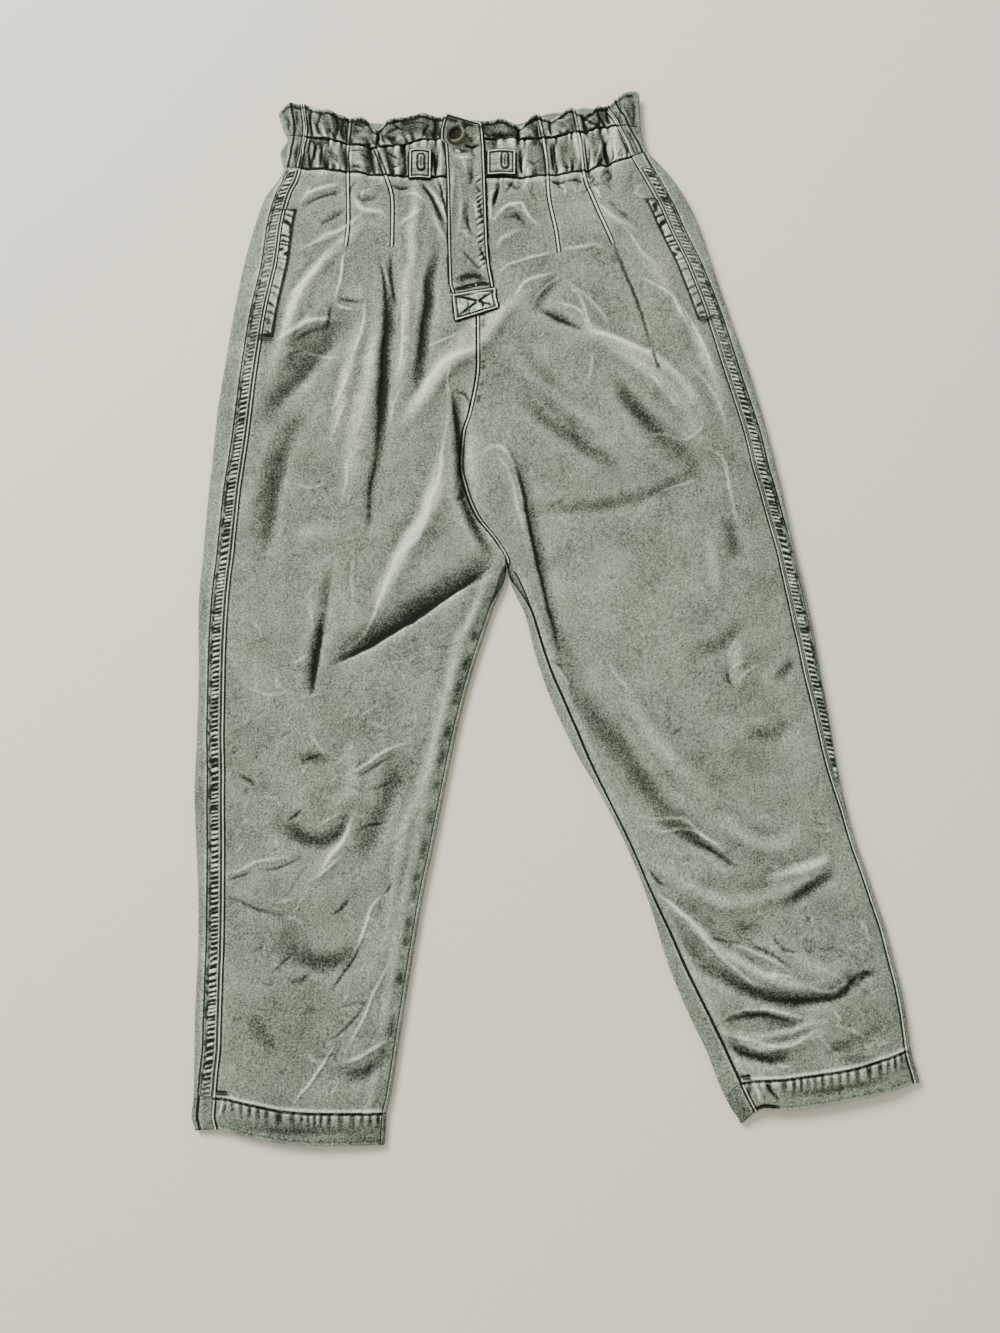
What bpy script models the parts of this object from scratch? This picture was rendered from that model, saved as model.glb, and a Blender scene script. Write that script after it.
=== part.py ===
"""Paperbag waist trousers of washed cotton twill, laid flat on their back.

The trousers are two flattened leg tubes that join above the crotch. +X is the
wearer's left, +Y runs from the hems to the frill and +Z is up; the floor is
z = 0. Each half is cut as a front and a back. A back wraps round the edges of
its tube and lies on the floor, and a front lies on top between the seams.
Left and right are as seen from above with the waist at the top. Tables are in
millimetres; meshes are in metres.
"""

import math

import bmesh
import bpy
from mathutils import Vector
from mathutils.bvhtree import BVHTree

MM = 0.001
CLOTH = 1.2             # wall of the twill
TRIM = 1.0              # wall of the small pieces that lie on the panels
SEAM_GAP = 0.3          # between pieces that are sewn to each other
LEAST_TOP = 3.6         # lowest a front lies, resting on the back
EDGE_REACH = 30.0       # how far in from a rolled edge the cloth still rises
EDGE_CALM = 14.0        # folds fade out this close to a rolled edge
SEAM_CALM = 10.0        # and are shallow this close to a seam

HEM_Y = -475.0          # nominal level of the hem stitching
CASING_Y = 403.0        # nominal level of the lower casing stitching
HEM_FADE_Y = -60.0      # the slant of the hem is gone above this level
WAIST_FADE_Y = 300.0    # the dip of the casing is gone below this level
CROTCH_Y = 8.0
CLOSED_Y = 22.0         # the backs lie flat against each other above here
OPEN_Y = -40.0          # the backs roll up to the inseams below here
INNER_ROLL = 2.5        # radius of the roll at the inner edge of a leg
LEAST_LAP = 1.0         # a back comes at least this far past its roll
CENTRE_BACK_TOP_X = -70.0
CENTRE_BACK_CROTCH_X = -31.5
CENTRE_X = -73.6        # centre front at the waist

PANEL_ROWS = 44
FRONT_COLUMNS = 17
HEM_ROWS = 2
HEM_COLUMNS = 36
CASING_ROWS = 3
FRILL_ROWS = 3
WAIST_COLUMNS = 25
SETTLE_TURNS = 6
BACK_TOP_STEPS = 2
ROLL_STEPS = 4
FLOOR_STEPS = 3

# One row a level. outseam and inseam are how far inside the outline each seam
# lies; outer_edge, middle and inner_edge are heights of the cloth's top.
LEVELS = ("y", "outer_x", "inner_x", "outseam", "inseam",
          "outer_edge", "middle", "inner_edge")
LEFT_LEVELS = (
    (-500, -292.0, -134.5, 15.0, 3.8, 4.6, 8.0, 4.6),
    (-488, -294.5, -134.0, 17.5, 3.8, 4.6, 8.2, 4.6),
    (-476, -298.0, -133.5, 18.0, 3.8, 4.8, 8.5, 4.6),
    (-463, -297.0, -130.5, 17.5, 3.8, 5.0, 9.0, 4.8),
    (-445, -297.5, -127.5, 18.5, 3.8, 5.0, 9.2, 5.0),
    (-420, -298.5, -124.0, 21.0, 3.8, 5.0, 9.4, 5.0),
    (-390, -299.5, -119.5, 21.5, 3.8, 5.0, 9.5, 5.0),
    (-350, -299.5, -113.5, 21.0, 3.8, 5.0, 9.5, 5.0),
    (-300, -301.5, -105.5, 21.5, 3.8, 5.0, 9.5, 5.0),
    (-250, -306.0, -95.5, 24.0, 3.8, 5.0, 9.5, 5.0),
    (-200, -310.0, -86.0, 25.5, 3.8, 5.0, 9.5, 5.0),
    (-150, -310.5, -76.0, 23.0, 3.8, 5.0, 9.5, 5.0),
    (-100, -311.5, -63.5, 22.5, 3.8, 5.2, 9.5, 5.0),
    (-60, -314.0, -51.0, 24.5, 3.8, 5.4, 9.5, 5.0),
    (-30, -315.0, -41.0, 26.0, 3.8, 5.5, 9.5, 5.2),
    (-10, -314.5, -34.5, 26.5, 3.8, 5.6, 9.5, 5.0),
    (8, -313.5, -31.5, 27.0, 0.0, 5.6, 9.5, 4.4),
    (25, -313.0, -41.0, 27.5, 0.0, 5.8, 9.5, 5.2),
    (50, -312.0, -60.0, 28.0, 0.0, 6.0, 9.8, 7.0),
    (75, -311.0, -70.0, 28.5, 0.0, 6.0, 10.0, 8.0),
    (100, -309.5, -75.0, 29.5, 0.0, 6.0, 10.4, 9.0),
    (130, -308.0, -73.0, 31.0, 0.0, 6.0, 10.8, 10.0),
    (150, -307.0, -67.0, 31.5, 0.0, 6.0, 11.0, 11.0),
    (200, -302.0, -59.5, 30.5, 0.0, 6.0, 11.5, 11.5),
    (250, -296.5, -60.0, 30.5, 0.0, 6.0, 11.5, 11.5),
    (300, -289.5, -64.0, 32.0, 0.0, 6.0, 11.5, 11.5),
    (350, -279.0, -69.0, 26.5, 0.0, 6.5, 11.8, 11.8),
    (380, -270.0, -72.5, 24.0, 0.0, 7.0, 12.0, 12.0),
    (400, -260.5, -73.6, 21.5, 0.0, 7.0, 12.0, 12.0),
    (420, -257.5, -73.6, 22.0, 0.0, 7.0, 12.0, 12.0),
    (450, -256.5, -73.6, 25.0, 0.0, 7.0, 12.0, 12.0),
    (490, -263.5, -73.6, 27.0, 0.0, 7.0, 12.0, 12.0),
)
RIGHT_LEVELS = (
    (-483, 320.0, 164.5, 3.6, 14.0, 5.0, 8.5, 6.0),
    (-470, 319.5, 157.0, 3.6, 18.0, 5.0, 8.8, 6.5),
    (-450, 318.0, 147.5, 3.6, 18.0, 5.0, 9.2, 6.5),
    (-425, 312.8, 138.5, 3.6, 16.0, 5.0, 9.4, 6.0),
    (-400, 311.0, 126.5, 3.6, 16.5, 5.0, 9.5, 5.4),
    (-375, 308.0, 116.0, 3.6, 15.0, 5.0, 9.5, 5.0),
    (-350, 303.0, 106.5, 3.6, 13.0, 5.0, 9.5, 5.0),
    (-325, 298.0, 99.5, 3.6, 9.5, 5.0, 9.5, 5.0),
    (-300, 291.0, 92.0, 3.6, 5.5, 5.0, 9.5, 5.0),
    (-275, 284.0, 83.0, 3.6, 3.8, 5.0, 9.5, 5.0),
    (-250, 276.5, 72.5, 3.6, 3.8, 5.0, 9.5, 5.0),
    (-225, 271.0, 60.5, 4.0, 4.0, 5.0, 9.5, 5.0),
    (-200, 266.5, 47.5, 6.5, 5.0, 5.0, 9.5, 5.0),
    (-170, 262.5, 30.0, 9.5, 9.0, 5.0, 9.5, 5.0),
    (-150, 260.5, 20.5, 11.0, 10.5, 5.0, 9.5, 5.0),
    (-125, 257.5, 9.5, 12.5, 11.0, 5.2, 9.5, 5.0),
    (-100, 254.0, 0.5, 14.0, 9.5, 5.2, 9.5, 5.0),
    (-75, 251.5, -7.0, 15.5, 8.5, 5.4, 9.5, 5.0),
    (-50, 248.0, -12.8, 16.5, 7.0, 5.5, 9.5, 5.0),
    (-25, 244.0, -22.0, 16.5, 7.0, 5.6, 9.5, 5.2),
    (-8, 241.0, -27.5, 16.5, 5.0, 5.6, 9.5, 5.0),
    (8, 238.0, -31.5, 16.0, 0.0, 5.6, 9.5, 4.6),
    (25, 235.0, -41.0, 16.5, 0.0, 5.8, 9.5, 5.4),
    (50, 231.0, -60.0, 18.5, 0.0, 6.0, 9.8, 7.0),
    (75, 227.0, -70.0, 20.0, 0.0, 6.0, 10.0, 8.0),
    (100, 222.5, -75.0, 21.5, 0.0, 6.0, 10.4, 9.0),
    (130, 216.5, -73.0, 21.0, 0.0, 6.0, 10.8, 10.0),
    (150, 212.0, -67.0, 21.5, 0.0, 6.0, 11.0, 11.0),
    (200, 200.0, -59.5, 23.0, 0.0, 6.0, 11.5, 11.5),
    (250, 185.5, -60.0, 21.5, 0.0, 6.0, 11.5, 11.5),
    (300, 171.5, -64.0, 23.5, 0.0, 6.0, 11.5, 11.5),
    (330, 163.5, -67.2, 28.0, 0.0, 6.3, 11.6, 11.6),
    (350, 157.5, -69.0, 30.0, 0.0, 6.5, 11.8, 11.8),
    (375, 147.5, -72.0, 30.0, 0.0, 7.0, 12.0, 12.0),
    (400, 133.5, -73.6, 28.0, 0.0, 7.0, 12.0, 12.0),
    (415, 122.0, -73.6, 24.0, 0.0, 7.0, 12.0, 12.0),
    (432, 108.5, -73.6, 17.0, 0.0, 7.0, 12.0, 12.0),
    (456, 104.0, -73.6, 24.0, 0.0, 7.0, 12.0, 12.0),
    (480, 103.5, -73.6, 36.0, 0.0, 7.0, 12.0, 12.0),
    (502, 103.5, -73.6, 40.0, 0.0, 7.0, 12.0, 12.0),
)

# Hem lines from side to side: where they run at each x.
HEM_LINES = ("x", "stitch_y", "bottom_y")
LEFT_HEM = (
    (-300, -464.0, -489.0),
    (-288, -463.0, -487.5),
    (-275, -462.5, -487.0),
    (-250, -467.0, -492.5),
    (-216, -473.0, -498.0),
    (-190, -474.5, -499.5),
    (-130, -475.0, -499.5),
)
RIGHT_HEM = (
    (150, -463.0, -483.0),
    (164, -451.5, -482.5),
    (176, -448.5, -473.5),
    (186, -448.0, -470.0),
    (198, -447.5, -471.5),
    (228, -444.0, -469.0),
    (264, -438.5, -463.0),
    (290, -431.0, -457.5),
    (318, -423.5, -450.0),
)

# Waist lines: lower and upper casing stitching, and the frill's free edges.
WAIST_LINES = ("x", "casing_y", "frill_y", "front_top_y", "back_top_y")
LEFT_WAIST = (
    (-264, 413.0, 447.0, 471.0, 468.0),
    (-250, 410.5, 446.0, 478.5, 471.5),
    (-235, 408.4, 443.5, 479.5, 472.5),
    (-221, 407.0, 441.5, 473.5, 470.5),
    (-205, 405.0, 438.5, 468.5, 467.5),
    (-188, 403.0, 433.5, 463.5, 464.5),
    (-172, 400.8, 431.0, 460.5, 464.5),
    (-160, 399.0, 429.4, 449.5, 463.5),
    (-148, 398.0, 430.0, 458.5, 462.5),
    (-130, 397.6, 433.0, 464.5, 461.5),
    (-112, 397.2, 437.5, 465.5, 460.5),
    (-96, 397.0, 438.5, 463.5, 459.5),
    (-72, 396.8, 438.5, 460.5, 459.5),
)
RIGHT_WAIST = (
    (-75, 396.8, 438.5, 460.5, 459.5),
    (-54, 396.6, 439.0, 458.5, 460.5),
    (-36, 396.4, 440.0, 459.5, 461.5),
    (-18, 396.2, 440.0, 454.5, 463.5),
    (-3, 397.3, 439.8, 463.5, 469.5),
    (14, 399.0, 441.5, 462.5, 475.5),
    (33, 401.5, 445.0, 470.5, 476.5),
    (46, 404.0, 448.0, 468.5, 481.5),
    (60, 408.0, 451.3, 472.5, 480.5),
    (75, 413.5, 454.0, 481.0, 481.0),
    (88, 418.5, 455.0, 491.0, 484.0),
    (98, 423.0, 455.0, 496.0, 487.0),
    (112, 429.0, 455.0, 490.0, 486.0),
)

# Gathers of the casing and waves of the frill: a crest or a hollow runs up
# from the casing, and its rise is given at the casing, stitching and free edge.
GATHER_LINES = ("casing_x", "stitch_x", "edge_x",
                "casing_rise", "stitch_rise", "edge_rise", "half_width")
CASING_LEVEL, STITCH_LEVEL, FREE_EDGE_LEVEL = 399.0, 438.0, 474.0
GATHER_FADE = 24.0
GATHERS = (
    (-246, -246, -250, 2.0, 0.5, 5.0, 11.0),
    (-228, -230, -229, -1.0, -0.5, -2.0, 7.0),
    (-212, -212, -208, 2.0, 0.5, 4.0, 10.0),
    (-190, -190, -188, -2.0, -1.0, -2.5, 6.0),
    (-178, -177, -176, 2.0, 0.5, 3.5, 8.0),
    (-167, -166, -161, -3.0, -1.5, -4.0, 6.0),
    (-150, -152, -146, 2.2, 0.5, 4.5, 9.0),
    (-133, -134, -132, -2.5, -1.0, -2.0, 6.0),
    (-118, -118, -114, 2.0, 0.6, 4.0, 9.0),
    (-103, -102, -100, -2.5, -1.2, -2.0, 6.0),
    (-35, -36, -38, 2.0, 0.5, 3.5, 10.0),
    (-17, -18, -18, -3.0, -1.5, -4.0, 7.0),
    (1, -2, -3, 2.4, 0.6, 4.5, 9.0),
    (18, 15, 12, -3.0, -1.2, -3.0, 7.0),
    (34, 31, 32, 2.4, 0.6, 4.5, 9.0),
    (50, 47, 46, -3.0, -1.2, -3.5, 6.0),
    (61, 58, 60, 2.2, 0.6, 4.5, 7.0),
    (70, 66, 72, -3.0, -1.2, -2.5, 6.0),
    (82, 78, 86, 1.0, 0.3, 2.5, 12.0),
)

# Folds of the panels: start, bend and end, then how far the cloth rises or
# sinks and half the fold's width.
FOLD_COLUMNS = ("start_x", "start_y", "bend_x", "bend_y", "end_x", "end_y",
                "rise", "half_width")
FOLDS = (
    # left front below the darts
    (-189, 400, -188, 365, -188, 320, -2.0, 7),
    (-205, 330, -208, 290, -206, 235, 2.5, 11),
    (-190, 335, -195, 300, -196, 250, -2.5, 8),
    (-148, 396, -143, 365, -144, 320, -2.0, 7),
    (-172, 335, -178, 220, -176, 90, 5.0, 15),
    (-144, 335, -149, 220, -157, 95, -5.0, 8),
    (-128, 350, -130, 250, -142, 130, 4.0, 13),
    (-106, 372, -108, 260, -132, 145, -4.0, 9),
    (-72, 222, -98, 196, -128, 130, 3.0, 9),
    (-86, 200, -99, 80, -146, -30, 3.5, 9),
    (-83, 172, -80, 130, -76, 80, -4.0, 7),
    (-175, 100, -172, 40, -180, -30, 2.5, 13),
    # left hip
    (-248, 322, -225, 327, -196, 330, -2.5, 8),
    (-252, 262, -225, 272, -196, 284, 2.5, 9),
    (-254, 238, -222, 250, -194, 262, -3.5, 8),
    (-270, 138, -255, 155, -236, 172, -3.0, 14),
    # right front
    (10, 398, 12, 368, 21, 312, -2.0, 7),
    (22, 312, 22, 290, 10, 256, -3.5, 9),
    (26, 300, 42, 270, 58, 248, 3.0, 10),
    (-10, 256, 18, 250, 52, 232, -3.0, 8),
    (48, 234, 76, 226, 106, 212, 3.0, 9),
    (48, 400, 56, 370, 76, 322, -2.0, 7),
    (64, 312, 82, 262, 100, 205, 3.5, 12),
    (80, 318, 100, 250, 124, 182, -4.0, 9),
    (98, 320, 120, 250, 140, 180, 4.0, 13),
    # left thigh
    (-36, 8, -108, -44, -200, -82, 7.0, 14),
    (-36, -12, -112, -64, -198, -98, -5.5, 12),
    (-201, -36, -204, -88, -212, -134, -5.0, 9),
    (-216, -40, -220, -90, -226, -130, 2.0, 11),
    # left shin
    (-234, -228, -200, -252, -164, -212, -4.5, 12),
    (-160, -212, -184, -253, -214, -288, 3.0, 9),
    (-178, -272, -192, -286, -208, -298, -3.0, 9),
    (-130, -272, -147, -308, -172, -350, 3.5, 9),
    (-133, -286, -155, -330, -188, -382, -3.5, 9),
    (-66, -70, -92, -170, -118, -262, 2.5, 8),
    (-118, -262, -140, -345, -180, -436, 3.0, 8),
    (-126, -408, -158, -424, -206, -462, 3.0, 8),
    (-124, -424, -155, -438, -188, -452, -4.5, 10),
    (-126, -352, -156, -384, -192, -420, -2.5, 8),
    # right thigh
    (-50, 122, -14, 100, 0, 8, -3.5, 8),
    (0, 12, 10, -44, 18, -88, -4.0, 8),
    (-36, 90, -18, 20, -2, -50, 2.5, 9),
    (148, -34, 170, -46, 188, -46, -2.5, 13),
    (120, -82, 146, -76, 172, -96, -2.5, 15),
    (30, -96, 76, -164, 112, -222, -3.5, 13),
    (104, -214, 138, -234, 176, -260, -3.5, 10),
    (96, -224, 132, -250, 160, -270, -2.5, 10),
    # right shin
    (204, -296, 226, -274, 250, -256, 3.5, 11),
    (208, -308, 236, -284, 264, -264, -4.0, 10),
    (104, -294, 124, -312, 152, -342, 3.5, 9),
    (116, -318, 148, -354, 208, -376, -5.5, 13),
    (154, -330, 182, -346, 220, -362, -2.5, 8),
    (184, -362, 228, -378, 260, -364, 3.0, 8),
    (208, -380, 244, -386, 294, -358, -4.5, 10),
    (148, -400, 190, -396, 238, -401, -2.5, 7),
    (162, -415, 190, -425, 244, -410, -4.0, 9),
    (206, -430, 226, -433, 256, -428, -2.0, 7),
    (186, -500, 189, -468, 192, -424, 2.5, 18),
)

# The right front's free inner edge lies over the left front.
OVERLAP_LOW_Y, OVERLAP_PEAK_Y, OVERLAP_TOP_Y = 6.0, 92.0, 160.0
OVERLAP_RISE = 4.0
OVERLAP_REACH = 40.0
LIP_DROP = 0.6          # share of the rise lost at the very edge
LIP_WIDTH = 6.0

HEM_PUCKER_PITCH = 8.4
HEM_PUCKER_RISE = 0.7
HEM_EDGE_SHARE = 0.15   # of the puckers' half wave is left at the free edge

# Outline levels of the fly and the small pieces: y, then the two side x.
STRIP_LEVELS = ("y", "left_x", "right_x")
FLY_LEVELS = (
    (271.5, -83.6, -43.5),
    (281, -86.2, -44.6),
    (295, -86.8, -47.2),
    (316, -87.6, -49.6),
    (350, -88.4, -51.2),
    (386, -89.2, -52.4),
    (424, -91.2, -53.7),
    (431, -91.8, -54.0),
    (436, -96.2, -54.4),
    (445, -96.2, -55.0),
    (455, -94.4, -56.4),
    (466, -91.2, -57.6),
)
FLY_FOOT_RISE, FLY_TOP_RISE = 7.0, -11.5    # from the left side to the right
FLY_BASE_PATCH = (
    (243, -80.8, -39.2),
    (256, -82.0, -39.4),
    (270.2, -83.3, -42.0),
)
PATCH_FOOT_RISE, PATCH_TOP_RISE = 13.0, 7.0
TAB_LEFT = ((394, -127.2, -105.8), (424.4, -127.0, -105.6))
TAB_RIGHT = ((398, -50.0, -22.6), (424.4, -50.0, -22.4))
BUTTON_X, BUTTON_Y = -80.9, 438.4
BUTTON_DIAMETER = 19.0
BUTTON_HEIGHT = 4.0
BUTTON_TILT = 16.0      # degrees

STRIP_WIDTH = 12.0      # felled outseam strip outside the seam
WELT_WIDTH = 13.0       # pocket edge inside the seam
STRIP_INSET = 0.8       # from the seam to the start of a strip or pocket edge
STRIP_WALL = 1.0
EDGE_MARGIN = 2.2       # a strip stops this far inside the outline
LEFT_STRIP_Y = (-460.0, 406.0)
RIGHT_STRIP_Y = (-196.0, 408.0)
LEFT_POCKET_Y = (227.5, 362.0)
RIGHT_POCKET_Y = (246.0, 372.0)

TWILL_COLOUR = (0.250, 0.283, 0.223)
FADED_COLOUR = (0.310, 0.345, 0.280)
HORN_COLOUR = (0.150, 0.095, 0.055)
TWILL_ROUGHNESS = 0.92
HORN_ROUGHNESS = 0.38


def clamp01(value):
    return min(1.0, max(0.0, value))


def smoothstep(low, high, value):
    t = clamp01((value - low) / (high - low))
    return t * t * (3.0 - 2.0 * t)


def steps_between(low, high, count):
    return [low + (high - low) * k / count for k in range(count + 1)]


class Curves:
    """Smooth columns of a table over its first column."""

    def __init__(self, names, rows):
        self.at = [row[0] for row in rows]
        self.columns = {
            name: [row[i] for row in rows] for i, name in enumerate(names)}

    def __call__(self, name, where):
        """The named column at a place, by a cubic that passes each row."""
        at = self.at
        values = self.columns[name]
        if where <= at[0]:
            return values[0]
        if where >= at[-1]:
            return values[-1]
        i = next(k for k in range(1, len(at)) if where < at[k]) - 1
        span = at[i + 1] - at[i]
        t = (where - at[i]) / span
        start = self.slope(values, i) * span
        end = self.slope(values, i + 1) * span
        t2 = t * t
        t3 = t2 * t
        return ((2 * t3 - 3 * t2 + 1) * values[i] + (t3 - 2 * t2 + t) * start
                + (3 * t2 - 2 * t3) * values[i + 1] + (t3 - t2) * end)

    def slope(self, values, i):
        """Slope at a row that never makes the curve overshoot its rows."""
        if i == 0 or i == len(values) - 1:
            return 0.0
        before = (values[i] - values[i - 1]) / (self.at[i] - self.at[i - 1])
        after = (values[i + 1] - values[i]) / (self.at[i + 1] - self.at[i])
        if before * after <= 0.0:
            return 0.0
        return 2.0 * before * after / (before + after)


def to_segment(x, y, ax, ay, bx, by):
    """Distance to a segment and how far along it the nearest point is."""
    dx = bx - ax
    dy = by - ay
    t = clamp01(((x - ax) * dx + (y - ay) * dy) / (dx * dx + dy * dy))
    return math.hypot(x - ax - t * dx, y - ay - t * dy), t


def crest(distance, half_width):
    """A rounded profile: 1 on the line, 0 at half_width and beyond."""
    if distance >= half_width:
        return 0.0
    return 0.5 + 0.5 * math.cos(math.pi * distance / half_width)


def seam_calm(from_seam):
    """A seam is stiff, so folds are shallow as they reach it."""
    return 0.15 + 0.85 * smoothstep(0.0, SEAM_CALM, abs(from_seam))


def curl(way, rolled, radius):
    """Across and up after a way along cloth that ends in a part-made roll."""
    turn = math.pi * rolled
    flat = math.pi * radius * (1.0 - rolled)
    if way <= flat:
        return way, 0.0
    if way <= flat + radius * turn:
        angle = (way - flat) / radius
        return flat + radius * math.sin(angle), radius * (1.0 - math.cos(angle))
    rest = way - flat - radius * turn
    return (flat + radius * math.sin(turn) + rest * math.cos(turn),
            radius * (1.0 - math.cos(turn)) + rest * math.sin(turn))


def fold_height(x, y):
    total = 0.0
    for row in FOLDS:
        fold = dict(zip(FOLD_COLUMNS, row))
        first, t_first = to_segment(x, y, row[0], row[1], row[2], row[3])
        second, t_second = to_segment(x, y, row[2], row[3], row[4], row[5])
        distance = min(first, second)
        along = 0.5 * t_first if first <= second else 0.5 + 0.5 * t_second
        taper = 1.0 - abs(2.0 * along - 1.0) ** 3
        total += fold["rise"] * taper * crest(distance, fold["half_width"])
    return total


def gather_height(x, y):
    lowest = CASING_LEVEL - GATHER_FADE
    if y <= lowest:
        return 0.0
    total = 0.0
    for row in GATHERS:
        gather = dict(zip(GATHER_LINES, row))
        if y <= STITCH_LEVEL:
            t = clamp01((y - CASING_LEVEL) / (STITCH_LEVEL - CASING_LEVEL))
            line = (1 - t) * gather["casing_x"] + t * gather["stitch_x"]
            puff = math.sin(math.pi * t)
            rise = ((1 - t) * gather["casing_rise"] * 0.5
                    + t * gather["stitch_rise"] + puff * 0.5 * gather["casing_rise"])
        else:
            t = clamp01((y - STITCH_LEVEL) / (FREE_EDGE_LEVEL - STITCH_LEVEL))
            line = (1 - t) * gather["stitch_x"] + t * gather["edge_x"]
            rise = (1 - t) * gather["stitch_rise"] + t * gather["edge_rise"]
        rise *= smoothstep(lowest, CASING_LEVEL, y)
        total += rise * crest(abs(x - line), gather["half_width"])
    return total


class Half:
    """One half of the trousers: its leg and its side of the seat and waist."""

    def __init__(self, name, levels, hem, waist, toward_centre):
        self.name = name
        self.level = Curves(LEVELS, levels)
        self.hem = Curves(HEM_LINES, hem)
        self.waist = Curves(WAIST_LINES, waist)
        self.toward_centre = toward_centre

    def outer(self, y):
        return self.level("outer_x", y)

    def inner(self, y):
        return self.level("inner_x", y)

    def top(self, x, y):
        """Height of the cloth's upper face over a point of the plan."""
        level = self.level
        from_outer = (x - self.outer(y)) * self.toward_centre
        from_inner = (self.inner(y) - x) * self.toward_centre
        outer_edge = level("outer_edge", y)
        middle = level("middle", y)
        inner_edge = level("inner_edge", y)
        outer_in = max(0.0, from_outer - 0.5 * outer_edge)
        inner_in = max(0.0, from_inner - 0.5 * inner_edge)
        height = middle
        height -= (middle - outer_edge) * math.exp(-outer_in / EDGE_REACH)
        height -= (middle - inner_edge) * math.exp(-inner_in / EDGE_REACH)
        calm = smoothstep(0.0, EDGE_CALM, outer_in)
        calm *= seam_calm(from_outer - level("outseam", y))
        if y < CROTCH_Y:
            calm *= smoothstep(0.0, EDGE_CALM, inner_in)
            calm *= seam_calm(from_inner - level("inseam", y))
        height += calm * (fold_height(x, y) + gather_height(x, y))
        if self.toward_centre < 0:
            height += self.overlap(y, from_inner)
        return max(height, LEAST_TOP)

    def overlap(self, y, from_inner):
        """Extra height of the right front where it lies over the left."""
        rise = OVERLAP_RISE
        rise *= smoothstep(OVERLAP_LOW_Y, OVERLAP_PEAK_Y, y)
        rise *= 1.0 - smoothstep(OVERLAP_PEAK_Y, OVERLAP_TOP_Y, y)
        near = math.exp(-max(from_inner, 0.0) / OVERLAP_REACH)
        lip = 1.0 - LIP_DROP * (1.0 - smoothstep(0.0, LIP_WIDTH, from_inner))
        return rise * near * lip

    def centre_back(self, y):
        t = clamp01((y - CROTCH_Y) / (CASING_Y - CROTCH_Y))
        return CENTRE_BACK_CROTCH_X + t * (CENTRE_BACK_TOP_X - CENTRE_BACK_CROTCH_X)

    def panel_y(self, nominal, x, _upper):
        """Level of a panel row: slanted as the hem and dipped as the casing."""
        hem = 1.0 - smoothstep(HEM_Y, HEM_FADE_Y, nominal)
        waist = smoothstep(WAIST_FADE_Y, CASING_Y, nominal)
        low = HEM_Y + SEAM_GAP / 2
        high = CASING_Y - SEAM_GAP / 2
        level = min(max(nominal, low), high)
        return (level + hem * (self.hem("stitch_y", x) - HEM_Y)
                + waist * (self.waist("casing_y", x) - CASING_Y))

    def hem_y(self, share, x, _upper):
        low = self.hem("bottom_y", x)
        high = self.hem("stitch_y", x) - SEAM_GAP / 2
        return low + share * (high - low)

    def casing_y(self, share, x, _upper):
        low = self.waist("casing_y", x) + SEAM_GAP / 2
        high = self.waist("frill_y", x) - SEAM_GAP / 2
        return low + share * (high - low)

    def frill_y(self, share, x, upper):
        """Level of a frill row; upper is 1 on top, 0 on the floor side."""
        low = self.waist("frill_y", x) + SEAM_GAP / 2
        back = self.waist("back_top_y", x)
        front = self.waist("front_top_y", x)
        top = back + smoothstep(0.0, 1.0, upper) * (front - back)
        return low + share * (top - low)

    def settle(self, row, row_y, upper, x_at):
        """The point of a row where x depends on y and y on x."""
        x = x_at(0.0)
        y = row_y(row, x, upper)
        for _ in range(SETTLE_TURNS):
            x = x_at(y)
            y = row_y(row, x, upper)
        return x, y

    def front_point(self, share, row, row_y):
        """A point of the upper face between the outseam and the inseam."""
        half_gap = SEAM_GAP / 2

        def x_at(y):
            start = self.outer(y) + self.toward_centre * (
                self.level("outseam", y) + half_gap)
            end = self.inner(y) - self.toward_centre * (
                self.level("inseam", y) + half_gap)
            return start + share * (end - start)

        x, y = self.settle(row, row_y, 1.0, x_at)
        return Vector((x, y, self.top(x, y)))

    def back_steps(self):
        """Where a back's columns lie: the part of its way round, and its share."""
        steps = [("outer_top", k / BACK_TOP_STEPS) for k in range(BACK_TOP_STEPS)]
        steps += [("outer_roll", k / ROLL_STEPS) for k in range(ROLL_STEPS)]
        steps += [("floor", k / FLOOR_STEPS) for k in range(FLOOR_STEPS)]
        steps += [("inner_roll", k / ROLL_STEPS) for k in range(ROLL_STEPS)]
        steps += [("inner_top", share) for share in (0.0, 1.0)]
        return steps

    def back_point(self, step, row, row_y):
        """A point of the outside of the back, from outseam to inseam."""
        part, share = step
        upper = {"outer_top": 1.0, "outer_roll": 1.0 - share}.get(part, 0.0)

        def x_at(y):
            return self.back_section(part, share, y)[0]

        y = self.settle(row, row_y, upper, x_at)[1]
        x, z = self.back_section(part, share, y)
        return Vector((x, y, z))

    def back_section(self, part, share, y):
        """x and z of a step of the way round at a level."""
        side = self.toward_centre
        outer = self.outer(y)
        radius = 0.5 * self.level("outer_edge", y)
        seam = self.level("outseam", y) - SEAM_GAP / 2
        if part == "outer_top":
            x = outer + side * (seam + share * (radius - seam))
            return x, self.top(x, y)
        if part == "outer_roll":
            angle = math.pi * (0.5 - share)
            depth = radius * (1.0 - math.cos(angle))
            return outer + side * depth, radius * (1.0 + math.sin(angle))
        return self.back_inner_section(part, share, y, outer + side * radius)

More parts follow.
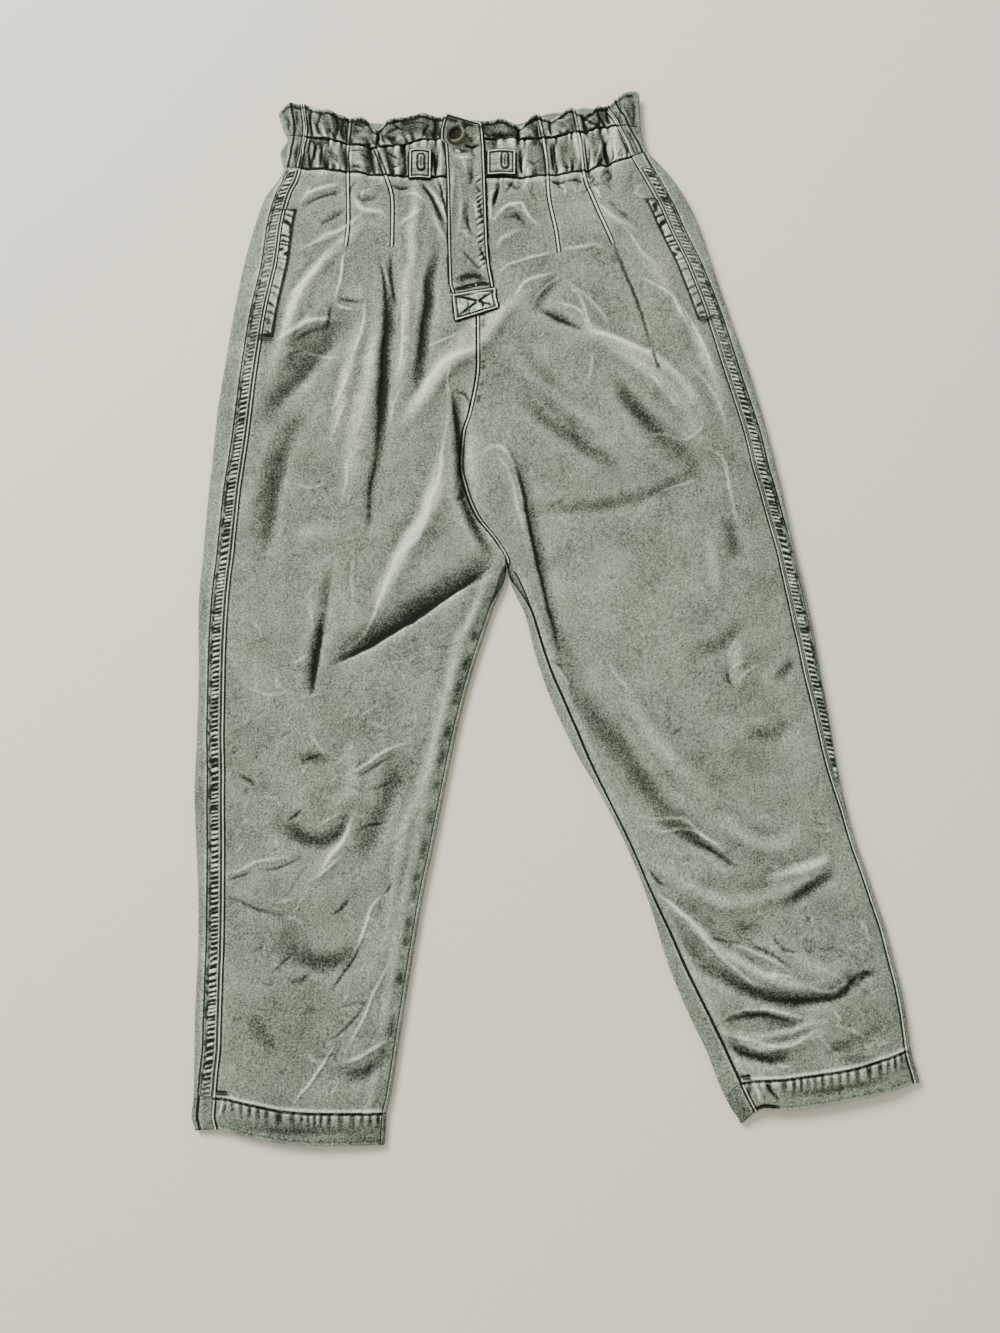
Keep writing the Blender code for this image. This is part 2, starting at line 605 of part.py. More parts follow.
    def back_inner_section(self, part, share, y, floor_start):
        """The floor and the inner roll, flat against the other half above."""
        side = self.toward_centre
        rolled = 1.0 - smoothstep(OPEN_Y, CLOSED_Y, y)
        radius = min(0.5 * self.level("inner_edge", y), INNER_ROLL)
        seam = max(self.level("inseam", y) - SEAM_GAP / 2, radius + LEAST_LAP)
        roll_length = math.pi * radius
        whole = roll_length + seam - radius
        flat_end = self.centre_back(y) - side * SEAM_GAP / 2
        end = flat_end + rolled * (self.inner(y) - flat_end)
        ways = steps_between(0.0, whole, 12)
        reach = max(curl(way, rolled, radius)[0] for way in ways)
        start = end - side * reach
        if part == "floor":
            return floor_start + share * (start - floor_start), 0.0
        if part == "inner_roll":
            way = share * roll_length
        else:
            way = roll_length + share * (whole - roll_length)
        across, z = curl(way, rolled, radius)
        x = start + side * across
        if part == "inner_top":
            z += rolled * share * (self.top(x, y) - 2.0 * radius)
        return x, z


LEFT = Half("left", LEFT_LEVELS, LEFT_HEM, LEFT_WAIST, 1.0)
RIGHT = Half("right", RIGHT_LEVELS, RIGHT_HEM, RIGHT_WAIST, -1.0)


def clear_scene():
    for old in list(bpy.data.objects):
        bpy.data.objects.remove(old, do_unlink=True)


def make_material(name, colour, roughness):
    material = bpy.data.materials.new(name)
    material.use_nodes = True
    shader = material.node_tree.nodes["Principled BSDF"]
    shader.inputs["Base Color"].default_value = (*colour, 1.0)
    shader.inputs["Roughness"].default_value = roughness
    shader.inputs["Metallic"].default_value = 0.0
    return material


def add_object(name, mesh, collection, colour, roughness=TWILL_ROUGHNESS):
    piece = bpy.data.objects.new(name, mesh)
    piece.data.materials.append(make_material(name + "_finish", colour, roughness))
    collection.objects.link(piece)
    return piece


def sheet(name, points, collection, colour=TWILL_COLOUR, wall=CLOTH, floor_column=None):
    """A cloth wall whose outer face is a grid of points in millimetres.

    The outer face looks up, or down where floor_column lies on the floor.
    """
    rows = len(points)
    columns = len(points[0])
    form = bmesh.new()
    bmesh.ops.create_grid(form, x_segments=columns - 1, y_segments=rows - 1, size=1.0)
    form.verts.ensure_lookup_table()
    for index, vertex in enumerate(form.verts):
        vertex.co = points[index // columns][index % columns] * MM
    form.normal_update()
    form.faces.ensure_lookup_table()
    looks_up = form.faces[floor_column or 0].normal.z > 0
    if looks_up == (floor_column is not None):
        bmesh.ops.reverse_faces(form, faces=form.faces[:])
    mesh = bpy.data.meshes.new(name)
    form.to_mesh(mesh)
    form.free()
    piece = add_object(name, mesh, collection, colour)
    solidify = piece.modifiers.new("wall", "SOLIDIFY")
    solidify.thickness = wall * MM
    solidify.offset = -1.0
    solidify.use_even_offset = False
    return piece


def front_sheet(name, half, rows, columns, row_y, collection, ripple=None):
    points = []
    for row in rows:
        line = []
        for column in range(columns + 1):
            across = column / columns
            point = half.front_point(across, row, row_y)
            if ripple:
                point.z += ripple(point.x, row) * clamp01(8.0 * across * (1.0 - across))
            line.append(point)
        points.append(line)
    return sheet(name, points, collection)


def back_sheet(name, half, rows, row_y, collection):
    steps = half.back_steps()
    points = [[half.back_point(step, row, row_y) for step in steps] for row in rows]
    floor_column = BACK_TOP_STEPS + ROLL_STEPS + 1
    return sheet(name, points, collection, floor_column=floor_column)


def hem_ripple(x, share):
    """Small gathers below the hem stitching, shallow at the free edge."""
    wave = math.sin(2.0 * math.pi * x / HEM_PUCKER_PITCH)
    half_wave = HEM_EDGE_SHARE + (1.0 - HEM_EDGE_SHARE) * share
    return HEM_PUCKER_RISE * wave * math.sin(math.pi * half_wave)


def build_half(half, collection):
    panel_rows = steps_between(HEM_Y, CASING_Y, PANEL_ROWS)
    made = {}
    made["front"] = front_sheet(
        "front_" + half.name, half, panel_rows, FRONT_COLUMNS, half.panel_y, collection)
    made["back"] = back_sheet(
        "back_" + half.name, half, panel_rows, half.panel_y, collection)
    bands = (
        ("hem", half.hem_y, HEM_ROWS, HEM_COLUMNS, hem_ripple),
        ("casing", half.casing_y, CASING_ROWS, WAIST_COLUMNS, None),
        ("frill", half.frill_y, FRILL_ROWS, WAIST_COLUMNS, None),
    )
    for band, row_y, count, columns, ripple in bands:
        rows = steps_between(0.0, 1.0, count)
        made[band] = front_sheet(
            band + "_front_" + half.name, half, rows, columns, row_y, collection, ripple)
        made[band + "_back"] = back_sheet(
            band + "_back_" + half.name, half, rows, row_y, collection)
    return made


def carried_by(pieces):
    """Height of the faceted cloth of some pieces, read from above."""
    depsgraph = bpy.context.evaluated_depsgraph_get()
    trees = [BVHTree.FromObject(piece, depsgraph) for piece in pieces]
    sky = 100.0

    def height(x, y, reach):
        found = 0.0
        for dx in (-reach, 0.0, reach):
            for dy in (-reach, 0.0, reach):
                start = Vector((x + dx, y + dy, sky)) * MM
                for tree in trees:
                    hit = tree.ray_cast(start, Vector((0, 0, -1)))[0]
                    if hit:
                        found = max(found, hit.z / MM)
        # past the cloth's free edge a piece keeps the height it had there
        return found or height(x, y - reach, reach)

    return height


def laid_sheet(name, corners, columns, rows, carrier, collection,
               colour=TWILL_COLOUR, wall=TRIM, reach=2.0):
    """A flat piece that lies on cloth; corners(u, v) gives its plan point."""
    points = []
    for row in range(rows + 1):
        line = []
        for column in range(columns + 1):
            x, y = corners(column / columns, row / rows)
            z = carrier(x, y, reach) + SEAM_GAP + wall
            line.append(Vector((x, y, z)))
        points.append(line)
    return sheet(name, points, collection, colour, wall)


def strip_plan(table, foot_rise=0.0, top_rise=0.0):
    """A plan map of a strip from its levels, with straight or slanted ends."""
    curves = Curves(STRIP_LEVELS, table)
    low, high = table[0][0], table[-1][0]

    def corners(u, v):
        y = (low + foot_rise * u) * (1 - v) + (high + top_rise * u) * v
        level = min(max(y, low), high)
        x = curves("left_x", level) * (1 - u) + curves("right_x", level) * u
        return x, y

    return corners


def seam_plan(half, y_range, inset_from, inset_to):
    """A plan map of a strip that follows a half's outseam, inside or outside."""
    low, high = y_range

    def corners(u, v):
        y = low + v * (high - low)
        seam = half.level("outseam", y)
        end = max(inset_to, EDGE_MARGIN - seam)
        depth = seam + inset_from + u * (end - inset_from)
        return half.outer(y) + half.toward_centre * depth, y

    return corners


def build_trim(left, right, collection):
    fronts = [left["front"], right["front"], left["casing"], right["casing"],
              left["frill"], right["frill"]]
    carrier = carried_by(fronts)
    fly = laid_sheet(
        "fly_placket", strip_plan(FLY_LEVELS, FLY_FOOT_RISE, FLY_TOP_RISE),
        4, 18, carrier, collection, FADED_COLOUR, CLOTH, 4.0)
    laid_sheet("fly_base_patch",
               strip_plan(FLY_BASE_PATCH, PATCH_FOOT_RISE, PATCH_TOP_RISE),
               5, 4, carrier, collection, FADED_COLOUR)
    laid_sheet("buttonhole_tab_left", strip_plan(TAB_LEFT), 4, 5, carrier, collection)
    laid_sheet("buttonhole_tab_right", strip_plan(TAB_RIGHT), 4, 4, carrier, collection)
    sides = (
        (LEFT, left, LEFT_STRIP_Y, LEFT_POCKET_Y, 44),
        (RIGHT, right, RIGHT_STRIP_Y, RIGHT_POCKET_Y, 32),
    )
    for half, made, strip_y, pocket_y, rows in sides:
        laid_sheet("outseam_strip_" + half.name,
                   seam_plan(half, strip_y, -STRIP_INSET, -STRIP_WIDTH),
                   2, rows, carried_by([made["back"]]), collection,
                   FADED_COLOUR, STRIP_WALL, 1.5)
        laid_sheet("pocket_edge_" + half.name,
                   seam_plan(half, pocket_y, STRIP_INSET, WELT_WIDTH),
                   3, 12, carried_by([made["front"]]), collection,
                   FADED_COLOUR, STRIP_WALL, 3.5)
    build_button(fly, collection)


def build_button(fly, collection):
    """A two-tone horn button, dished, sewn on and tilted on the fly."""
    form = bmesh.new()
    radius = BUTTON_DIAMETER / 2 * MM
    bmesh.ops.create_cone(
        form, cap_ends=True, cap_tris=False, segments=28,
        radius1=radius * 0.9, radius2=radius, depth=BUTTON_HEIGHT * MM)
    mesh = bpy.data.meshes.new("waist_button")
    form.to_mesh(mesh)
    form.free()
    button = add_object("waist_button", mesh, collection, HORN_COLOUR, HORN_ROUGHNESS)
    lift = BUTTON_HEIGHT / 2 + SEAM_GAP
    lift += BUTTON_DIAMETER / 2 * math.sin(math.radians(BUTTON_TILT))
    height = carried_by([fly])(BUTTON_X, BUTTON_Y, 7.0)
    button.location = Vector((BUTTON_X, BUTTON_Y, height + lift)) * MM
    button.rotation_euler = (0.0, math.radians(-BUTTON_TILT), 0.0)
    bevel = button.modifiers.new("rim", "BEVEL")
    bevel.width = 0.8 * MM
    bevel.segments = 1
    bevel.limit_method = "ANGLE"


def main():
    clear_scene()
    collection = bpy.data.collections.new("paperbag_waist_trousers")
    bpy.context.scene.collection.children.link(collection)
    left = build_half(LEFT, collection)
    right = build_half(RIGHT, collection)
    bpy.context.view_layer.update()
    build_trim(left, right, collection)


if __name__ == "__main__":
    main()
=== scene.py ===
"""Cloth, seams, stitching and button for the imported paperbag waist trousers.

The trousers lie flat on the floor, z = 0. +Y runs from the hems to the frill.
Left and right are as seen from above with the waist at the top. Tables and
sizes are in millimetres; meshes are in metres. Each piece of cloth is a thin
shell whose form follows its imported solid, with finer folds and seams.
"""

import math

import bmesh
import bpy
import numpy as np
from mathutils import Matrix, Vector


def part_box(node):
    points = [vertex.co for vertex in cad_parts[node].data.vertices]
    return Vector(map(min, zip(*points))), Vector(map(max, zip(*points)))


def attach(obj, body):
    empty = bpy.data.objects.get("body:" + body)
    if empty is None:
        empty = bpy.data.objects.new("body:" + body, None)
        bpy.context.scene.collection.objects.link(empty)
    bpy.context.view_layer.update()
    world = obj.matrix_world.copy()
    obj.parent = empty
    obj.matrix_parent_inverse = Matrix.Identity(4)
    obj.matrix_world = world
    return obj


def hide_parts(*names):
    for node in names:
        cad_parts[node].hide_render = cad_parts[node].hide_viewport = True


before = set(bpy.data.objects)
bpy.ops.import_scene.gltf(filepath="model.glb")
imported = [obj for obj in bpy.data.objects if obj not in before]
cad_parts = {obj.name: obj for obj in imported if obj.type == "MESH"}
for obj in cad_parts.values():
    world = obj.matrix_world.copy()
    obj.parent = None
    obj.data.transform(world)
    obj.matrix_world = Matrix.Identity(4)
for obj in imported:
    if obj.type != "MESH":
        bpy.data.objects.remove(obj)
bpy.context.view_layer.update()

bl_info = {
    "name": "Paperbag waist trousers",
    "version": (1, 0, 0),
    "blender": (4, 5, 0),
    "location": "3D View > Sidebar > Trousers",
    "description": "Lays washed twill trousers on the packed part",
    "category": "Object",
}

MM = 0.001


def number_rows(text):
    """The rows of a table of numbers; a line that starts with # is a heading."""
    return [[float(value) for value in line.replace(",", " ").split()]
            for line in text.strip().splitlines() if not line.startswith("#")]


def fold_rows(text):
    """Folds from a table: each row's reaches become two and its steps points."""
    rows = []
    for row in number_rows(text):
        if len(row) % 2 == 0:
            row.insert(2, row[1])
        rows.append((*row[:5], *np.reshape(row[5:], (-1, 2)).cumsum(axis=0)))
    return rows


# Cloth and seams
SEAM_GAP = 0.3
TRIM = 1.0
LEAST_TOP = 3.6
LEAST_ROUND = 0.5       # how softly the cloth settles on that level
EDGE_REACH = 30.0
EDGE_CALM = 14.0
SEAM_CALM = 10.0

# Levels of the seams along the body
HEM_Y = -475.0
CASING_Y = 403.0
HEM_FADE_Y = -60.0
WAIST_FADE_Y = 300.0
CROTCH_Y = 8.0
CLOSED_Y = 22.0
OPEN_Y = -40.0
INNER_ROLL = 2.5
LEAST_LAP = 1.0
CENTRE_BACK_TOP_X = -70.0
CENTRE_BACK_CROTCH_X = -31.5
SETTLE_TURNS = 6

# One row a level. outseam and inseam are how far inside the outline each seam
# lies; outer_edge, middle and inner_edge are heights of the cloth's top.
LEVELS = ("y", "outer_x", "inner_x", "outseam", "inseam",
          "outer_edge", "middle", "inner_edge")
LEFT_LEVELS = number_rows("""
-500 -292 -134.5 15 3.8 4.6 8 4.6
-488 -294.5 -134 17.5 3.8 4.6 8.2 4.6
-476 -298 -133.5 18 3.8 4.8 8.5 4.6
-463 -297 -130.5 17.5 3.8 5 9 4.8
-445 -297.5 -127.5 18.5 3.8 5 9.2 5
-420 -298.5 -124 21 3.8 5 9.4 5
-390 -299.5 -119.5 21.5 3.8 5 9.5 5
-350 -299.5 -113.5 21 3.8 5 9.5 5
-300 -301.5 -105.5 21.5 3.8 5 9.5 5
-250 -306 -95.5 24 3.8 5 9.5 5
-200 -310 -86 25.5 3.8 5 9.5 5
-150 -310.5 -76 23 3.8 5 9.5 5
-100 -311.5 -63.5 22.5 3.8 5.2 9.5 5
-60 -314 -51 24.5 3.8 5.4 9.5 5
-30 -315 -41 26 3.8 5.5 9.5 5.2
-10 -314.5 -34.5 26.5 3.8 5.6 9.5 5
8 -313.5 -31.5 27 0 5.6 9.5 4.4
25 -313 -41 27.5 0 5.8 9.5 5.2
50 -312 -60 28 0 6 9.8 7
75 -311 -70 28.5 0 6 10 8
100 -309.5 -75 29.5 0 6 10.4 9
130 -308 -73 31 0 6 10.8 10
150 -307 -67 31.5 0 6 11 11
200 -302 -59.5 30.5 0 6 11.5 11.5
250 -296.5 -60 30.5 0 6 11.5 11.5
300 -289.5 -64 32 0 6 11.5 11.5
350 -279 -69 26.5 0 6.5 11.8 11.8
380 -270 -72.5 24 0 7 12 12
396 -259.5 -73.6 20 0 7 12 12
410 -253.5 -73.6 16.3 0 7 12 12
427 -257 -73.6 22.4 0 7 12 12
444 -251 -73.6 18.6 0 7 12 12
456 -256 -73.6 23.8 0 7 12 12
490 -263.5 -73.6 27 0 7 12 12
""")
RIGHT_LEVELS = number_rows("""
-483 320 164.5 3.6 14 5 8.5 6
-470 319.5 157 3.6 18 5 8.8 6.5
-450 318 147.5 3.6 18 5 9.2 6.5
-425 312.8 138.5 3.6 16 5 9.4 6
-400 311 126.5 3.6 16.5 5 9.5 5.4
-375 308 116 3.6 15 5 9.5 5
-350 303 106.5 3.6 13 5 9.5 5
-325 298 99.5 3.6 9.5 5 9.5 5
-300 291 92 3.6 5.5 5 9.5 5
-275 284 83 3.6 3.8 5 9.5 5
-250 276.5 72.5 3.6 3.8 5 9.5 5
-225 271 60.5 4 4 5 9.5 5
-200 266.5 47.5 6.5 5 5 9.5 5
-170 262.5 30 9.5 9 5 9.5 5
-150 260.5 20.5 11 10.5 5 9.5 5
-125 257.5 9.5 12.5 11 5.2 9.5 5
-100 254 .5 14 9.5 5.2 9.5 5
-75 251.5 -7 15.5 8.5 5.4 9.5 5
-50 248 -12.8 16.5 7 5.5 9.5 5
-25 244 -22 16.5 7 5.6 9.5 5.2
-8 241 -27.5 16.5 5 5.6 9.5 5
8 238 -31.5 16 0 5.6 9.5 4.6
25 235 -41 16.5 0 5.8 9.5 5.4
50 231 -60 18.5 0 6 9.8 7
75 227 -70 20 0 6 10 8
100 222.5 -75 21.5 0 6 10.4 9
130 216.5 -73 21 0 6 10.8 10
150 212 -67 21.5 0 6 11 11
200 200 -59.5 23 0 6 11.5 11.5
250 185.5 -60 21.5 0 6 11.5 11.5
300 171.5 -64 23.5 0 6 11.5 11.5
330 163.5 -67.2 28 0 6.3 11.6 11.6
350 157.5 -69 30 0 6.5 11.8 11.8
375 147.5 -72 30 0 7 12 12
400 133.5 -73.6 28 0 7 12 12
415 122 -73.6 24 0 7 12 12
432 108.5 -73.6 17 0 7 12 12
456 104 -73.6 24 0 7 12 12
480 103.5 -73.6 36 0 7 12 12
502 103.5 -73.6 40 0 7 12 12
""")

# Hem lines from side to side: where they run at each x.
HEM_LINES = ("x", "stitch_y", "bottom_y")
LEFT_HEM = number_rows("""
-300 -464 -489
-288 -463 -487.5
-275 -462.5 -487
-250 -467 -492.5
-216 -473 -498
-190 -474.5 -499.5
-130 -475 -499.5
""")
RIGHT_HEM = number_rows("""
150 -463 -483
164 -451.5 -482.5
176 -448.5 -473.5
186 -448 -470
198 -447.5 -471.5
228 -444 -469
264 -438.5 -463
290 -431 -457.5
318 -423.5 -450
""")

# Waist lines: lower and upper casing stitching, and the frill's free edges.
WAIST_LINES = ("x", "casing_y", "frill_y", "front_top_y", "back_top_y")
LEFT_WAIST = number_rows("""
-264 413 447 471 468
-250 410.5 446 478.5 471.5
-235 408.4 443.5 479.5 472.5
-221 407 441.5 473.5 470.5
-205 405 438.5 468.5 467.5
-188 403 433.5 463.5 464.5
-172 400.8 431 460.5 464.5
-160 399 429.4 449.5 463.5
-148 398 430 458.5 462.5
-130 397.6 433 464.5 461.5
-112 397.2 437.5 465.5 460.5
-96 397 438.5 463.5 459.5
-72 396.8 438.5 460.5 459.5
""")
RIGHT_WAIST = number_rows("""
-75 396.8 438.5 460.5 459.5
-54 396.6 439 458.5 460.5
-36 396.4 440 459.5 461.5
-18 396.2 440 454.5 463.5
-3 397.3 439.8 463.5 469.5
14 399 441.5 462.5 475.5
33 401.5 445 470.5 476.5
46 404 448 468.5 481.5
60 408 451.3 472.5 480.5
75 413.5 454 481 481
88 418.5 455 491 484
98 423 455 496 487
112 429 455 490 486
""")

# Gathers of the casing and waves of the frill: a crest or a hollow runs up
# from the casing, and its rise is given at the casing, stitching and free edge.
GATHER_LINES = ("casing_x", "stitch_x", "edge_x",
                "casing_rise", "stitch_rise", "edge_rise", "half_width")
CASING_LEVEL, STITCH_LEVEL, FREE_EDGE_LEVEL = 399.0, 438.0, 474.0
GATHER_FADE = 24.0
GATHERS = number_rows("""
-246 -246 -250 2 .5 5 11
-228 -230 -229 -1 -.5 -2 7
-212 -212 -208 2 .5 4 10
-190 -190 -188 -2 -1 -2.5 6
-178 -177 -176 2 .5 3.5 8
-167 -166 -161 -3 -1.5 -4 6
-150 -152 -146 2.2 .5 4.5 9
-133 -134 -132 -2.5 -1 -2 6
-118 -118 -114 2 .6 4 9
-103 -102 -100 -2.5 -1.2 -2 6
-35 -36 -38 2 .5 3.5 10
-17 -18 -18 -3 -1.5 -4 7
1 -2 -3 2.4 .6 4.5 9
18 15 12 -3 -1.2 -3 7
34 31 32 2.4 .6 4.5 9
50 47 46 -3 -1.2 -3.5 6
61 58 60 2.2 .6 4.5 7
70 66 72 -3 -1.2 -2.5 6
82 78 86 1 .3 2.5 12
""")

